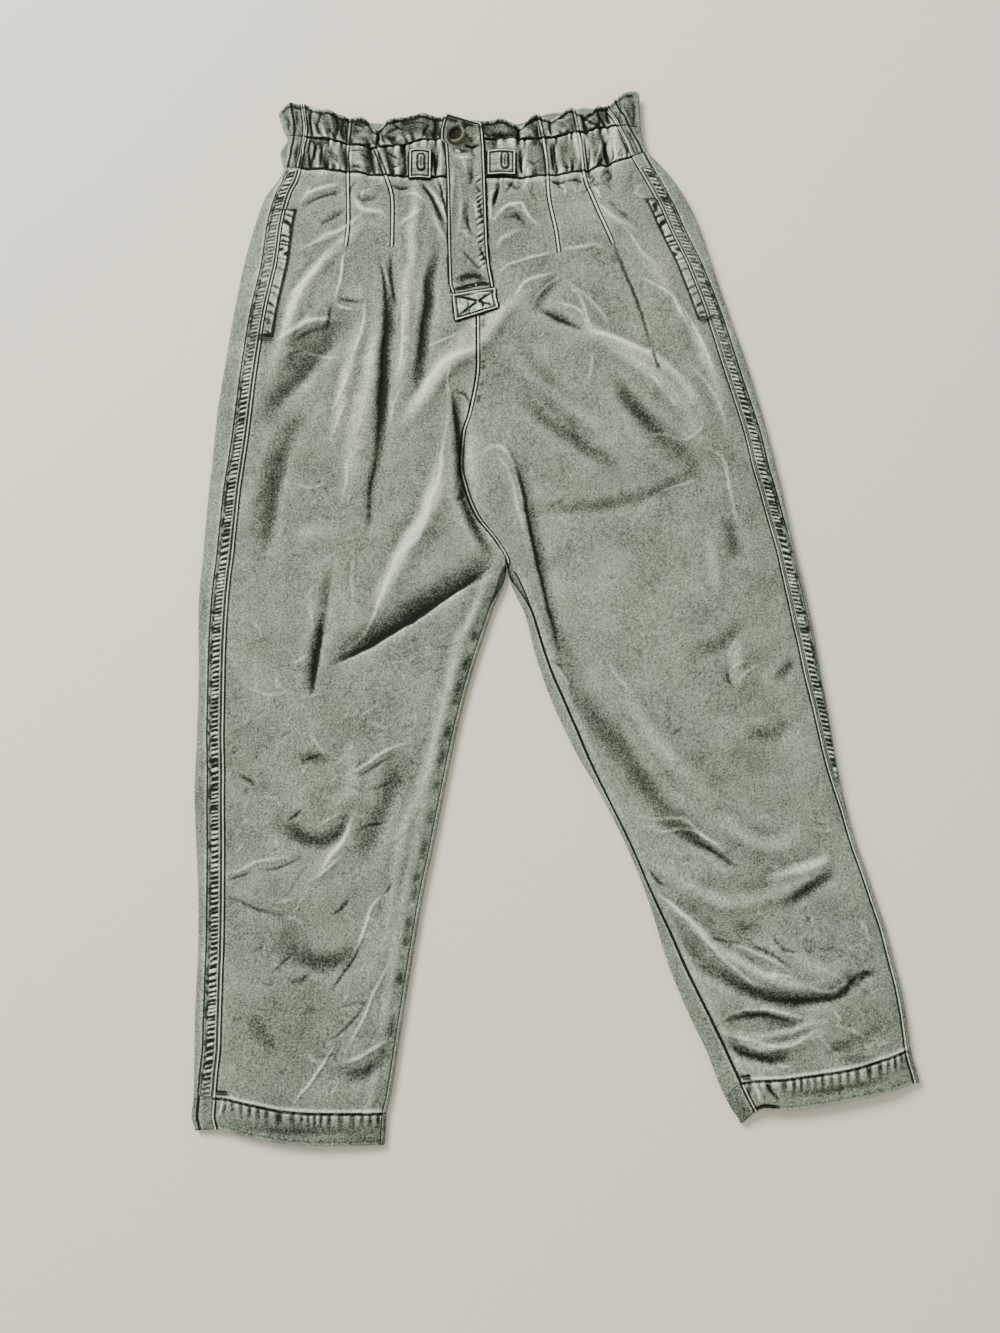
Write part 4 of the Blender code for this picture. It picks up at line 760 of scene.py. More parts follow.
class Curves:
    """Smooth columns of a table over its first column."""

    def __init__(self, names, rows):
        table = np.array(rows, float)
        self.at = table[:, 0]
        self.columns = {}
        for i, name in enumerate(names):
            values = table[:, i]
            rates = np.diff(values) / np.diff(self.at)
            slope = np.zeros(len(values))
            before, after = rates[:-1], rates[1:]
            same_way = before * after > 0.0
            total = np.where(same_way, before + after, 1.0)
            slope[1:-1] = np.where(same_way, 2.0 * before * after / total, 0.0)
            self.columns[name] = (values, slope)

    def __call__(self, name, where):
        values, slope = self.columns[name]
        where = np.clip(where, self.at[0], self.at[-1])
        i = np.clip(np.searchsorted(self.at, where, side="right") - 1,
                    0, len(self.at) - 2)
        span = self.at[i + 1] - self.at[i]
        t = (where - self.at[i]) / span
        t2 = t * t
        t3 = t2 * t
        return ((2 * t3 - 3 * t2 + 1) * values[i]
                + (t3 - 2 * t2 + t) * slope[i] * span
                + (3 * t2 - 2 * t3) * values[i + 1]
                + (t3 - t2) * slope[i + 1] * span)


class Drift:
    """Smooth random values along a line, from 0 to 1, the same each run."""

    COUNT = 512

    def __init__(self, seed, step):
        self.values = np.random.default_rng(seed).random(self.COUNT)
        self.step = step

    def __call__(self, way):
        place = np.asarray(way, float) / self.step + self.COUNT
        i = np.floor(place).astype(int)
        t = smoothstep(0.0, 1.0, place - i)
        return (self.values[i % self.COUNT] * (1.0 - t)
                + self.values[(i + 1) % self.COUNT] * t)


class Patches:
    """Smooth random values over the plan, from 0 to 1, the same each run."""

    COUNT = 128

    def __init__(self, seed, long_cell, short_cell=None, turn=0.0):
        self.values = np.random.default_rng(seed).random((self.COUNT, self.COUNT))
        self.cell = (long_cell, short_cell or long_cell)
        self.cos = math.cos(math.radians(turn))
        self.sin = math.sin(math.radians(turn))

    def __call__(self, x, y):
        u = (x * self.cos + y * self.sin) / self.cell[0] + self.COUNT
        v = (y * self.cos - x * self.sin) / self.cell[1] + self.COUNT
        i = np.floor(u).astype(int)
        j = np.floor(v).astype(int)
        s = smoothstep(0.0, 1.0, u - i)
        t = smoothstep(0.0, 1.0, v - j)
        i0, i1 = i % self.COUNT, (i + 1) % self.COUNT
        j0, j1 = j % self.COUNT, (j + 1) % self.COUNT
        low = self.values[i0, j0] * (1 - s) + self.values[i1, j0] * s
        high = self.values[i0, j1] * (1 - s) + self.values[i1, j1] * s
        return low * (1 - t) + high * t


def smooth_line(points, step=6.0):
    """A smooth line through some plan points, as points about a step apart."""
    points = np.array(points, float)
    if len(points) < 3:
        return points
    padded = np.vstack([2 * points[0] - points[1], points,
                        2 * points[-1] - points[-2]])
    line = []
    for a, b, c, d in zip(padded, padded[1:], padded[2:], padded[3:]):
        count = max(1, int(np.hypot(*(c - b)) / step))
        for t in np.arange(count) / count:
            line.append(0.5 * (2 * b + (c - a) * t + (2 * a - 5 * b + 4 * c - d) * t ** 2
                               + (3 * b - a - 3 * c + d) * t ** 3))
    line.append(points[-1])
    return np.array(line)


def beside_line(x, y, line):
    """Signed distance to a line, + on the left of its way, and the share along."""
    best = np.full(x.shape, np.inf)
    signed = np.zeros(x.shape)
    along = np.zeros(x.shape)
    steps = np.hypot(*np.diff(line, axis=0).T)
    ways = np.concatenate([[0.0], np.cumsum(steps)])
    for k, (a, b) in enumerate(zip(line, line[1:])):
        d = b - a
        px, py = x - a[0], y - a[1]
        t = np.clip((px * d[0] + py * d[1]) / (d @ d), 0.0, 1.0)
        away = np.hypot(px - t * d[0], py - t * d[1])
        side = np.sign(d[0] * py - d[1] * px)
        nearer = away < best
        best = np.where(nearer, away, best)
        signed = np.where(nearer, away * side, signed)
        along = np.where(nearer, (ways[k] + t * steps[k]) / ways[-1], along)
    return signed, along


def near(x, y, line, reach):
    low = line.min(axis=0) - reach
    high = line.max(axis=0) + reach
    return (x > low[0]) & (x < high[0]) & (y > low[1]) & (y < high[1])


TONE_REACH = 1.3        # least reach of a crease's paler or darker line
TONE_SHARE = 0.5        # of the fold's own reach


class Creases:
    """Folds along lines: heights, and a tone painted along them as the folds' shade and
    highlight, with some fading by rubbing.
    """

    def __init__(self, rows, tone_share=TONE_SHARE, taper=2.2):
        self.rows = [(row[:5], smooth_line(row[5:])) for row in rows]
        self.tone_share = tone_share
        self.taper = taper

    def __call__(self, x, y):
        height = np.zeros(x.shape)
        tone = np.zeros(x.shape)
        for (rise, left, right, crisp, shade), line in self.rows:
            here = near(x, y, line, max(left, right, 2 * TONE_REACH))
            if not here.any():
                continue
            signed, along = beside_line(x[here], y[here], line)
            taper = 1.0 - np.abs(2.0 * along - 1.0) ** self.taper
            side_reach = np.where(signed > 0, left, right)
            u = np.minimum(np.abs(signed) / side_reach, 1.0)
            form = (1 - crisp) * (0.5 + 0.5 * np.cos(np.pi * u)) + crisp * (1 - u) ** 2
            height[here] += rise * taper * form
            shaded = np.maximum(self.tone_share * side_reach, TONE_REACH)
            tone[here] += shade * taper * smoothstep(
                1.0, 0.75 * crisp, np.abs(signed) / shaded)
        return height, tone


class Darts:
    """Stitched darts: a narrow ridge between two pressed lines."""

    def __init__(self, rows):
        self.lines = [smooth_line(row) for row in rows]

    def from_nearest(self, x, y):
        """Signed distance to the nearest dart, as far as its own ends."""
        nearest = np.full(x.shape, FAR)
        for line in self.lines:
            here = near(x, y, line, FAR)
            if not here.any():
                continue
            signed, along = beside_line(x[here], y[here], line)
            past = np.where((along > 0.0) & (along < 1.0), 0.0, FAR)
            signed = np.clip(signed + np.sign(signed) * past, -FAR, FAR)
            closer = np.abs(signed) < np.abs(nearest[here])
            nearest[here] = np.where(closer, signed, nearest[here])
        return nearest

    def height(self, x, y):
        away = self.from_nearest(x, y)
        return DART_RISE * bump(away, DART_REACH) - DART_DIP * bump(
            np.abs(away) - DART_LINE, DART_LINE_REACH)


def gather_height(x, y):
    lowest = CASING_LEVEL - GATHER_FADE
    total = np.zeros(x.shape)
    here = y > lowest
    if not here.any():
        return total
    px, py = x[here], y[here]
    low_t = np.clip((py - CASING_LEVEL) / (STITCH_LEVEL - CASING_LEVEL), 0.0, 1.0)
    high_t = np.clip((py - STITCH_LEVEL) / (FREE_EDGE_LEVEL - STITCH_LEVEL), 0.0, 1.0)
    puff = np.sin(np.pi * low_t)
    sums = np.zeros(px.shape)
    for row in GATHERS:
        gather = dict(zip(GATHER_LINES, row))
        lower = py <= STITCH_LEVEL
        line = np.where(
            lower, (1 - low_t) * gather["casing_x"] + low_t * gather["stitch_x"],
            (1 - high_t) * gather["stitch_x"] + high_t * gather["edge_x"])
        rise = np.where(
            lower,
            0.5 * (1 - low_t + puff) * gather["casing_rise"]
            + low_t * gather["stitch_rise"],
            (1 - high_t) * gather["stitch_rise"] + high_t * gather["edge_rise"])
        sums += rise * bump(px - line, gather["half_width"])
    total[here] = sums * smoothstep(lowest, CASING_LEVEL, py)
    return total


CREASED = Creases(CREASES)
FOLDED = Creases(FOLDS, 0.85)
WAISTED = Creases(WAIST_FOLDS, 0.7)
SLIT = Creases(SLITS)
DARTED = Darts(DARTS)
UNDER_GROOVE = Patches(11, 30.0, 11.0, 38.0)
STRAY_X = (Patches(13, 26.0), Patches(14, 9.0))
STRAY_Y = (Patches(16, 26.0), Patches(17, 9.0))
STRAY_WIDE, STRAY_FINE = 2.6, 1.0
FOLD_LIMIT, TONE_LIMIT = 5.0, 0.95
SWELL = Patches(15, 60.0)


def strayed(x, y):
    """Plan points moved a little, so that no fold runs quite true."""
    along = STRAY_WIDE * (STRAY_X[0](x, y) - 0.5) + STRAY_FINE * (STRAY_X[1](x, y) - 0.5)
    across = STRAY_WIDE * (STRAY_Y[0](x, y) - 0.5) + STRAY_FINE * (STRAY_Y[1](x, y) - 0.5)
    return x + along, y + across


def short_creases(seed, count, corners, slope, spread, reach_range, rise, shade):
    """Rows of short creases strewn over a part of the cloth."""
    chance = np.random.default_rng(seed)
    (x0, y0), (x1, y1), (x2, y2), (x3, y3) = corners
    rows = []
    for _ in range(count):
        u, v = chance.random(2)
        x = (1 - v) * ((1 - u) * x0 + u * x1) + v * ((1 - u) * x3 + u * x2)
        y = (1 - v) * ((1 - u) * y0 + u * y1) + v * ((1 - u) * y3 + u * y2)
        angle = math.radians(slope + spread * chance.normal())
        length = 10.0 + 26.0 * chance.random() ** 2
        bend = math.radians(28.0 * chance.normal())
        first = np.array((math.cos(angle - bend), math.sin(angle - bend))) * length / 2
        last = np.array((math.cos(angle + bend), math.sin(angle + bend))) * length / 2
        size = chance.uniform(0.4, 1.0)
        sign = 1.0 if chance.random() < 0.55 else -1.0
        wide = chance.uniform(*reach_range)
        narrow = wide * chance.uniform(0.45, 0.8)
        sides = (wide, narrow) if chance.random() < 0.5 else (narrow, wide)
        rows.append((sign * size * rise, *sides, chance.uniform(0.1, 0.7),
                     sign * size * shade, (x - first[0], y - first[1]), (x, y),
                     (x + last[0], y + last[1])))
    return rows


# Short creases strewn over the cloth: sunk ones painted darker as shade, raised ones paler as
# highlight.
CREPT = Creases(
    short_creases(41, 130, ((-286, -450), (-150, -450), (-80, -60), (-280, -60)),
                  35.0, 32.0, (1.6, 4.0), 0.5, 0.26)
    + short_creases(42, 70, ((-270, 0), (-160, 0), (-120, 250), (-250, 250)),
                    60.0, 40.0, (1.6, 4.0), 0.45, 0.22)
    + short_creases(43, 110, ((160, -440), (300, -425), (270, -250), (90, -250)),
                    -15.0, 30.0, (1.6, 4.0), 0.5, 0.26)
    + short_creases(44, 60, ((10, -60), (220, -60), (200, 330), (-40, 330)),
                    -40.0, 45.0, (1.6, 4.5), 0.45, 0.18)
    + short_creases(46, 40, ((60, -250), (270, -250), (220, -60), (20, -60)),
                    -35.0, 40.0, (1.6, 4.5), 0.45, 0.18)
    + short_creases(45, 40, ((-250, 380), (120, 380), (120, 402), (-240, 402)),
                    90.0, 22.0, (1.5, 3.5), 1.0, 0.40))


class Half:
    """One half of the trousers: its leg and its side of the seat and waist."""

    def __init__(self, name, levels, hem, waist, toward_centre):
        self.name = name
        self.level = Curves(LEVELS, levels)
        self.hem = Curves(HEM_LINES, hem)
        self.waist = Curves(WAIST_LINES, waist)
        self.toward_centre = toward_centre

    def outer(self, y):
        return self.level("outer_x", y)

    def inner(self, y):
        return self.level("inner_x", y)

    def top(self, x, y):
        """Height of the cloth's upper face over the plan, and its tone."""
        level = self.level
        from_outer = (x - self.outer(y)) * self.toward_centre
        from_inner = (self.inner(y) - x) * self.toward_centre
        outer_edge = level("outer_edge", y)
        middle = level("middle", y)
        inner_edge = level("inner_edge", y)
        outer_in = np.maximum(0.0, from_outer - 0.5 * outer_edge)
        inner_in = np.maximum(0.0, from_inner - 0.5 * inner_edge)
        height = middle - (middle - outer_edge) * np.exp(-outer_in / EDGE_REACH)
        height -= (middle - inner_edge) * np.exp(-inner_in / EDGE_REACH)
        calm = smoothstep(0.0, EDGE_CALM, outer_in)
        calm *= self.seam_calm(from_outer - level("outseam", y))
        inner_calm = smoothstep(0.0, EDGE_CALM, inner_in)
        inner_calm *= self.seam_calm(from_inner - level("inseam", y))
        calm *= np.where(y < CROTCH_Y, inner_calm, 1.0)
        tone_calm = 0.4 + 0.6 * calm
        moved = strayed(x, y)
        fold, shade = CREASED(*moved)
        broad, broad_shade = FOLDED(*moved)
        small, small_shade = CREPT(*moved)
        slit, slit_shade = SLIT(x, y)
        swell = 1.6 * (SWELL(x, y) - 0.5)
        folds = FOLD_LIMIT * np.tanh((fold + broad + small) / FOLD_LIMIT)
        height += calm * (folds + gather_height(x, y) + swell)
        height += slit + DARTED.height(x, y)
        # Painted fold shade and highlight are made stronger towards the waist.
        shade = (shade + broad_shade + small_shade) * (1.0 + 0.35 * smoothstep(120, 240, y))
        shade = TONE_LIMIT * np.tanh(shade / TONE_LIMIT)
        # HALOED paints shade along the outlines of the fly, its foot patch and the tabs.
        tone = tone_calm * shade + slit_shade + HALOED(x, y)[1]
        if self.toward_centre < 0:
            height += self.overlap(y, from_inner)
        above = height - LEAST_TOP
        height = LEAST_TOP + 0.5 * (above + np.sqrt(above ** 2 + LEAST_ROUND ** 2))
        return height, tone

    @staticmethod
    def seam_calm(from_seam):
        return 0.15 + 0.85 * smoothstep(0.0, SEAM_CALM, np.abs(from_seam))

    def overlap(self, y, from_inner):
        rise = OVERLAP_RISE * smoothstep(OVERLAP_LOW_Y, OVERLAP_PEAK_Y, y)
        rise *= 1.0 - smoothstep(OVERLAP_PEAK_Y, OVERLAP_TOP_Y, y)
        fade = np.exp(-np.maximum(from_inner, 0.0) / OVERLAP_REACH)
        lip = 1.0 - LIP_DROP * (1.0 - smoothstep(0.0, LIP_WIDTH, from_inner))
        return rise * fade * lip

    def centre_back(self, y):
        t = np.clip((y - CROTCH_Y) / (CASING_Y - CROTCH_Y), 0.0, 1.0)
        return CENTRE_BACK_CROTCH_X + t * (CENTRE_BACK_TOP_X - CENTRE_BACK_CROTCH_X)

    def panel_y(self, share, x, _upper):
        nominal = HEM_Y + share * (CASING_Y - HEM_Y)
        hem = 1.0 - smoothstep(HEM_Y, HEM_FADE_Y, nominal)
        waist = smoothstep(WAIST_FADE_Y, CASING_Y, nominal)
        level = np.clip(nominal, HEM_Y + SEAM_GAP / 2, CASING_Y - SEAM_GAP / 2)
        return (level + hem * (self.hem("stitch_y", x) - HEM_Y)
                + waist * (self.waist("casing_y", x) - CASING_Y))

    def hem_y(self, share, x, _upper):
        low = self.hem("bottom_y", x)
        high = self.hem("stitch_y", x) - SEAM_GAP / 2
        return low + share * (high - low)

    def casing_y(self, share, x, _upper):
        low = self.waist("casing_y", x) + SEAM_GAP / 2
        high = self.waist("frill_y", x) - SEAM_GAP / 2
        return low + share * (high - low)

    def frill_y(self, share, x, upper):
        low = self.waist("frill_y", x) + SEAM_GAP / 2
        back = self.waist("back_top_y", x)
        front = self.waist("front_top_y", x)
        top = back + smoothstep(0.0, 1.0, upper) * (front - back)
        return low + share * (top - low)

    def settle(self, share, row_y, upper, x_at):
        """The points of a row where x depends on y and y on x."""
        x = x_at(np.zeros_like(share))
        y = row_y(share, x, upper)
        for _ in range(SETTLE_TURNS):
            x = x_at(y)
            y = row_y(share, x, upper)
        return x, y

    def front_plan(self, across, share, row_y):
        """Plan points of a front, and how far they lie from its two seams."""
        half_gap = SEAM_GAP / 2

        def ends(y):
            start = self.outer(y) + self.toward_centre * (
                self.level("outseam", y) + half_gap)
            end = self.inner(y) - self.toward_centre * (
                self.level("inseam", y) + half_gap)
            return start, end

        def x_at(y):
            start, end = ends(y)
            return start + across * (end - start)

        x, y = self.settle(share, row_y, 1.0, x_at)
        start, end = ends(y)
        return x, y, np.abs(x - start), np.abs(end - x)

    def back_section(self, part, share, y):
        """x, z and tone of a step of the way round at some levels."""
        side = self.toward_centre
        outer = self.outer(y)
        radius = 0.5 * self.level("outer_edge", y)
        seam = self.level("outseam", y) - SEAM_GAP / 2
        calm = np.zeros_like(y)
        if part == "outer_top":
            x = outer + side * (seam + share * (radius - seam))
            height, tone = self.top(x, y)
            return x, height, tone
        if part == "outer_roll":
            angle = np.pi * (0.5 - share)
            x = outer + side * radius * (1.0 - np.cos(angle))
            start = self.top(outer + side * radius, y)[0] - 2.0 * radius
            fade = smoothstep(0.5, 0.0, share)
            return x, radius * (1.0 + np.sin(angle)) + start * fade, calm
        return self.back_inner_section(part, share, y, outer + side * radius)

    def back_inner_section(self, part, share, y, floor_start):
        """The floor and the inner roll, flat against the other half above."""
        side = self.toward_centre
        rolled = 1.0 - smoothstep(OPEN_Y, CLOSED_Y, y)
        radius = np.minimum(0.5 * self.level("inner_edge", y), INNER_ROLL)
        seam = np.maximum(self.level("inseam", y) - SEAM_GAP / 2, radius + LEAST_LAP)
        roll_length = np.pi * radius
        whole = roll_length + seam - radius
        flat_end = self.centre_back(y) - side * SEAM_GAP / 2
        end = flat_end + rolled * (self.inner(y) - flat_end)
        reach = np.max([curl(whole * k / 12, rolled, radius)[0] for k in range(13)],
                       axis=0)
        start = end - side * reach
        calm = np.zeros_like(y)
        if part == "floor":
            x = floor_start + share * (start - floor_start)
            fade = smoothstep(0.0, 0.08, share) * smoothstep(0.0, 0.08, 1.0 - share)
            return x, fade * under_creases(x, y), calm
        if part == "inner_roll":
            way = share * roll_length
        else:
            way = roll_length + share * (whole - roll_length)
        across, z = curl(way, rolled, radius)
        x = start + side * across
        if part == "inner_top":
            top, tone = self.top(x, y)
            z = z + rolled * share * (top - 2.0 * radius)
            calm = tone
        return x, z, calm


def curl(way, rolled, radius):
    """Across and up after a way along cloth that ends in a part-made roll."""
    turn = np.pi * rolled
    flat = np.pi * radius * (1.0 - rolled)
    angle = np.clip((way - flat) / radius, 0.0, turn)
    rest = np.maximum(way - flat - radius * turn, 0.0)
    across = np.minimum(way, flat) + radius * np.sin(angle) + rest * np.cos(turn)
    return across, radius * (1.0 - np.cos(angle)) + rest * np.sin(turn)


UNDER_RISE = 0.8


def under_creases(x, y):
    """Shallow creases of the side that lies on the floor."""
    groove = 1.0 - np.abs(2.0 * UNDER_GROOVE(-x, y) - 1.0)
    long_fold = 1.0 - np.abs(2.0 * SWELL(x + 40.0, y) - 1.0)
    return UNDER_RISE * (0.5 * groove ** 8 + 0.5 * long_fold ** 16)


LEFT = Half("left", LEFT_LEVELS, LEFT_HEM, LEFT_WAIST, 1.0)
RIGHT = Half("right", RIGHT_LEVELS, RIGHT_HEM, RIGHT_WAIST, -1.0)
HALVES = (LEFT, RIGHT)


class Grid:
    """A piece's points with their tone of fading and painted shade, and how far from its
    seams.

    edge is the distance to a turned and stitched edge, groove to a sewn groove
    and dart to a dart.
    """

    def __init__(self, x, y, z, tone, edge=None, groove=None, dart=None):
        self.x, self.y, self.z, self.tone = x, y, z, tone
        far = np.full(x.shape, FAR)
        self.edge = far if edge is None else np.clip(edge, 0.0, FAR)
        self.groove = far if groove is None else np.clip(groove, -FAR, FAR)
        self.dart = far if dart is None else np.clip(dart, -FAR, FAR)


def nearer(first, second):
    return np.where(np.abs(first) < np.abs(second), first, second)


# Details that belong to one piece: height, tone, edge and groove.

def lip_height(distance):
    """A turned and stitched edge: a rounded lip and a sewn-down line."""
    return 0.6 * bump(distance - 1.0, 1.9) - 0.6 * bump(distance - 2.6, 1.7)


LEFT_BLOBS = (-65, -90, -113, -125, -153, -175, -200, -228, -255, -280, -295,
              -320, -335, -365, -405)
BLOB_INSET = 4.0
CENTRE_PUCKERS = Drift(21, 3.2)
HEM_TICKS = Drift(27, 1.7)


def front_detail(half, x, y, from_out, from_in, _share):
    height = lip_height(from_out)
    leg = smoothstep(CROTCH_Y, CROTCH_Y - 14.0, y)
    if half is LEFT:
        more, tone = left_inseam_detail(y, from_in, leg)
        edge = from_out
        groove = from_in + FAR * leg
    else:
        more, tone = right_inseam_detail(y, from_in, leg)
        edge = np.minimum(from_out, from_in + FAR * leg)
        groove = from_in + FAR * (1.0 - leg)
        # Painted shade along the leg's inner edge, with a paler band inside it.
        tone += 0.30 * leg * bump(from_in - 5.0, 4.5) - 0.8 * leg * bump(from_in, 1.6)
    hem = y - half.hem("stitch_y", x)
    casing = half.waist("casing_y", x) - y
    height += more + 0.5 * bump(hem - 2.2, 2.6) - 0.9 * bump(casing, 2.4)
    # Paler on the puffs beside the hem and casing seams, as painted highlight with some
    # fading; pale ticks at the hem stitching; painted shade in the casing seam's groove.
    tone += 0.55 * bump(hem - 2.8, 2.2) + 0.25 * bump(casing - 4.0, 3.5)
    tone += 0.9 * smoothstep(0.50, 0.62, HEM_TICKS(x)) * bump(hem, 1.6)
    tone -= 0.30 * bump(casing, 2.5)
    return height, tone, edge, nearer(groove, nearer(hem, casing))


def left_inseam_detail(y, from_in, leg):
    """Leg inseam near the silhouette, and the centre front above the crotch."""
    height = np.zeros(y.shape)
    tone = np.zeros(y.shape)
    # Dents along the inseam, painted darker as shade in their hollows.
    for k, blob_y in enumerate(LEFT_BLOBS):
        length = 7.0 + 3.0 * (k % 3)
        blob = bump(from_in - BLOB_INSET, 5.0) * bump(y - blob_y, length)
        height -= 0.6 * blob
        tone -= 0.42 * blob
    height += 0.7 * leg * bump(from_in - 12.0, 7.0) - 0.5 * (1.0 - leg) * bump(from_in, 3.0)
    tone += leg * 0.14 * bump(from_in - 12.0, 7.0)
    # Painted shade along the centre front, where this front dips under the other.
    return height, tone - 0.2 * (1.0 - leg) * bump(from_in, 4.0)


def right_inseam_detail(y, from_in, leg):
    seat = 1.0 - leg
    pucker = smoothstep(0.4, 0.75, CENTRE_PUCKERS(y))
    puckered = seat * smoothstep(140.0, 160.0, y) * bump(from_in - 6.0, 3.5) * pucker
    height = (0.5 + 0.5 * leg) * lip_height(from_in) - 0.5 * puckered
    # Painted shade in the puckers along the centre seam.
    return height, -0.55 * puckered


HEM_PITCH = 7.4
HEM_DRIFT = Drift(22, 26.0)
HEM_AMOUNT = Drift(23, 9.0)


def hem_detail(half, x, y, from_out, from_in, share):
    """Gathers that fan down from the hem stitching to a calm free edge."""
    phase = x / HEM_PITCH + 1.4 * HEM_DRIFT(x)
    wave = np.cos(2.0 * np.pi * phase)
    wave = np.tanh(1.8 * wave + 0.2)
    fan = smoothstep(0.42, 0.95, share) * (1.0 - 0.6 * smoothstep(0.97, 1.0, share))
    fan = fan * (0.45 + 0.55 * HEM_AMOUNT(x)) * smoothstep(2.0, 9.0, from_out)
    height = 0.8 * fan * wave + 0.6 * bump(share - 0.05, 0.09)
    height -= 0.6 * bump(share - 1.0, 0.07)
    # Painted highlight on the gathers' crests and painted shade in their hollows.
    tone = fan * np.where(wave > 0.0, 0.50, 0.75) * wave
    tone -= 0.22 if half is LEFT else 0.06 + 0.35 * bump(from_out, 30.0)
    tone += 0.6 * bump(share, 0.05) - 0.3 * bump(share - 0.12, 0.05)
    line = half.hem("stitch_y", x) - y
    tone += 0.9 * smoothstep(0.50, 0.62, HEM_TICKS(x)) * bump(line, 1.6)
    fold, shade = WAISTED(x, y)
    height += fold
    tone += shade
    edge = from_out if half is LEFT else np.minimum(from_out, from_in)
    height += lip_height(edge)
    return height, tone, edge, half.hem("stitch_y", x) - y


CASING_FINE = Drift(24, 2.6)
CASING_WIDE = Drift(25, 7.5)


def casing_detail(half, x, y, from_out, _from_in, share):
    """A puffed band with small gathers at both of its stitched lines."""
    edge = bump(share, 0.36) + bump(share - 1.0, 0.36)
    fine = CASING_FINE(x) - 0.5
    wide = CASING_WIDE(x + 8.0 * share) - 0.5
    height = 1.3 * np.sin(np.pi * share) + 2.4 * edge * fine + 1.8 * wide
    # Painted highlight on the gathers' crests and painted shade in their hollows and at both
    # stitched lines; the left band is darker overall and towards its outer end.
    tone = 2.4 * edge * fine + 1.5 * wide + (-0.12 if half is LEFT else 0.14)
    tone -= 0.5 * bump(share, 0.10) + 0.5 * bump(share - 1.0, 0.10)
    if half is LEFT:
        tone -= 0.5 * bump(from_out, 30.0)
    height -= 0.9 * bump(share, 0.07) + 0.9 * bump(share - 1.0, 0.07)
    groove = nearer(y - half.waist("casing_y", x), half.waist("frill_y", x) - y)
    fold, shade = WAISTED(x, y)
    height += 0.6 * fold + lip_height(from_out)
    return height, tone + shade, from_out, groove


FRILL_FINE = Drift(26, 3.4)
FRILL_HEM = 4.5         # from the free edge to the stitching of its hem


def frill_detail(half, x, y, from_out, _from_in, share):
    """A ruffle gathered at its foot and turned under at its free edge."""
    foot = bump(share, 0.55)
    fine = FRILL_FINE(x + 12.0 * share) - 0.5
    depth = half.waist("front_top_y", x) - y
    wide = CASING_WIDE(0.8 * x + 8.0 * share + 300.0) - 0.5
    height = 2.4 * foot * fine + 1.2 * wide + 0.6 * bump(depth - 2.0, 3.0)
    height -= 0.5 * bump(depth - FRILL_HEM, 1.8)
    # Painted highlight and shade on the gathers; the turned free edge is paler; painted shade
    # in the small nips below the hem stitching and along the stitched lines at the foot and
    # hem.
    tone = 1.8 * foot * fine + 1.1 * wide - 0.38
    tone += 0.45 * bump(depth - 0.6, 1.4)
    nips = smoothstep(0.45, 0.75, FRILL_FINE(1.6 * x + 77.0))
    tone -= 1.2 * nips * bump(depth - FRILL_HEM + 0.8, 3.0)
    tone += 0.5 * (1.0 - nips) * bump(depth - 2.2, 1.8)
    tone -= 0.4 * bump(share, 0.12) + 0.9 * bump(depth - FRILL_HEM, 1.6)
    fold, shade = WAISTED(x, y)
    height += 0.6 * fold + lip_height(from_out)
    return height, tone + shade, from_out, y - half.waist("frill_y", x)


# Meshes

def corner_points(x, y, z):
    return np.stack([x, y, z], axis=-1) * MM


def add_wear_and_shade(mesh, name, values):
    attribute = mesh.attributes.new(name, "FLOAT", "POINT")
    attribute.data.foreach_set("value", values.astype(np.float32).ravel())


def blurred(values, reach):
    """A grid averaged over a square of 2 reach + 1 points, twice."""
    for _ in range(2):
        for axis in (0, 1):
            pad = [(0, 0), (0, 0)]
            pad[axis] = (reach + 1, reach)
            sums = np.cumsum(np.pad(values, pad, mode="edge"), axis=axis)
            if axis == 0:
                values = (sums[2 * reach + 1:] - sums[:-2 * reach - 1]) / (2 * reach + 1)
            else:
                values = ((sums[:, 2 * reach + 1:] - sums[:, :-2 * reach - 1])
                          / (2 * reach + 1))
    return values


HOLLOW_SHADE = 0.34     # tone lost for each millimetre of hollow


def worn(z, tone, reach):
    """Painted shade in hollows and paler ridges: the tone follows the height above the blurred
    surface, as painted shade and highlight with some fading by rubbing.
    """
    return tone + HOLLOW_SHADE * (z - blurred(z, reach))


def grid_faces(rows, columns, flip, start=0):
    index = start + np.arange(rows * columns).reshape(rows, columns)
    faces = np.stack([index[:-1, :-1], index[:-1, 1:], index[1:, 1:], index[1:, :-1]],
                     axis=-1).reshape(-1, 4)
    return faces[:, ::-1] if flip else faces


def lowest_near(values, stride):
    """The lowest value within a stride of every stride-th point."""
    rows, columns = values.shape
    out = np.full(((rows - 1) // stride + 1, (columns - 1) // stride + 1), np.inf)
    padded = np.pad(values, stride, mode="edge")
    for i in range(2 * stride + 1):
        for j in range(2 * stride + 1):
            part = padded[i:i + rows:stride, j:j + columns:stride]
            out = np.minimum(out, part[:out.shape[0], :out.shape[1]])
    return out


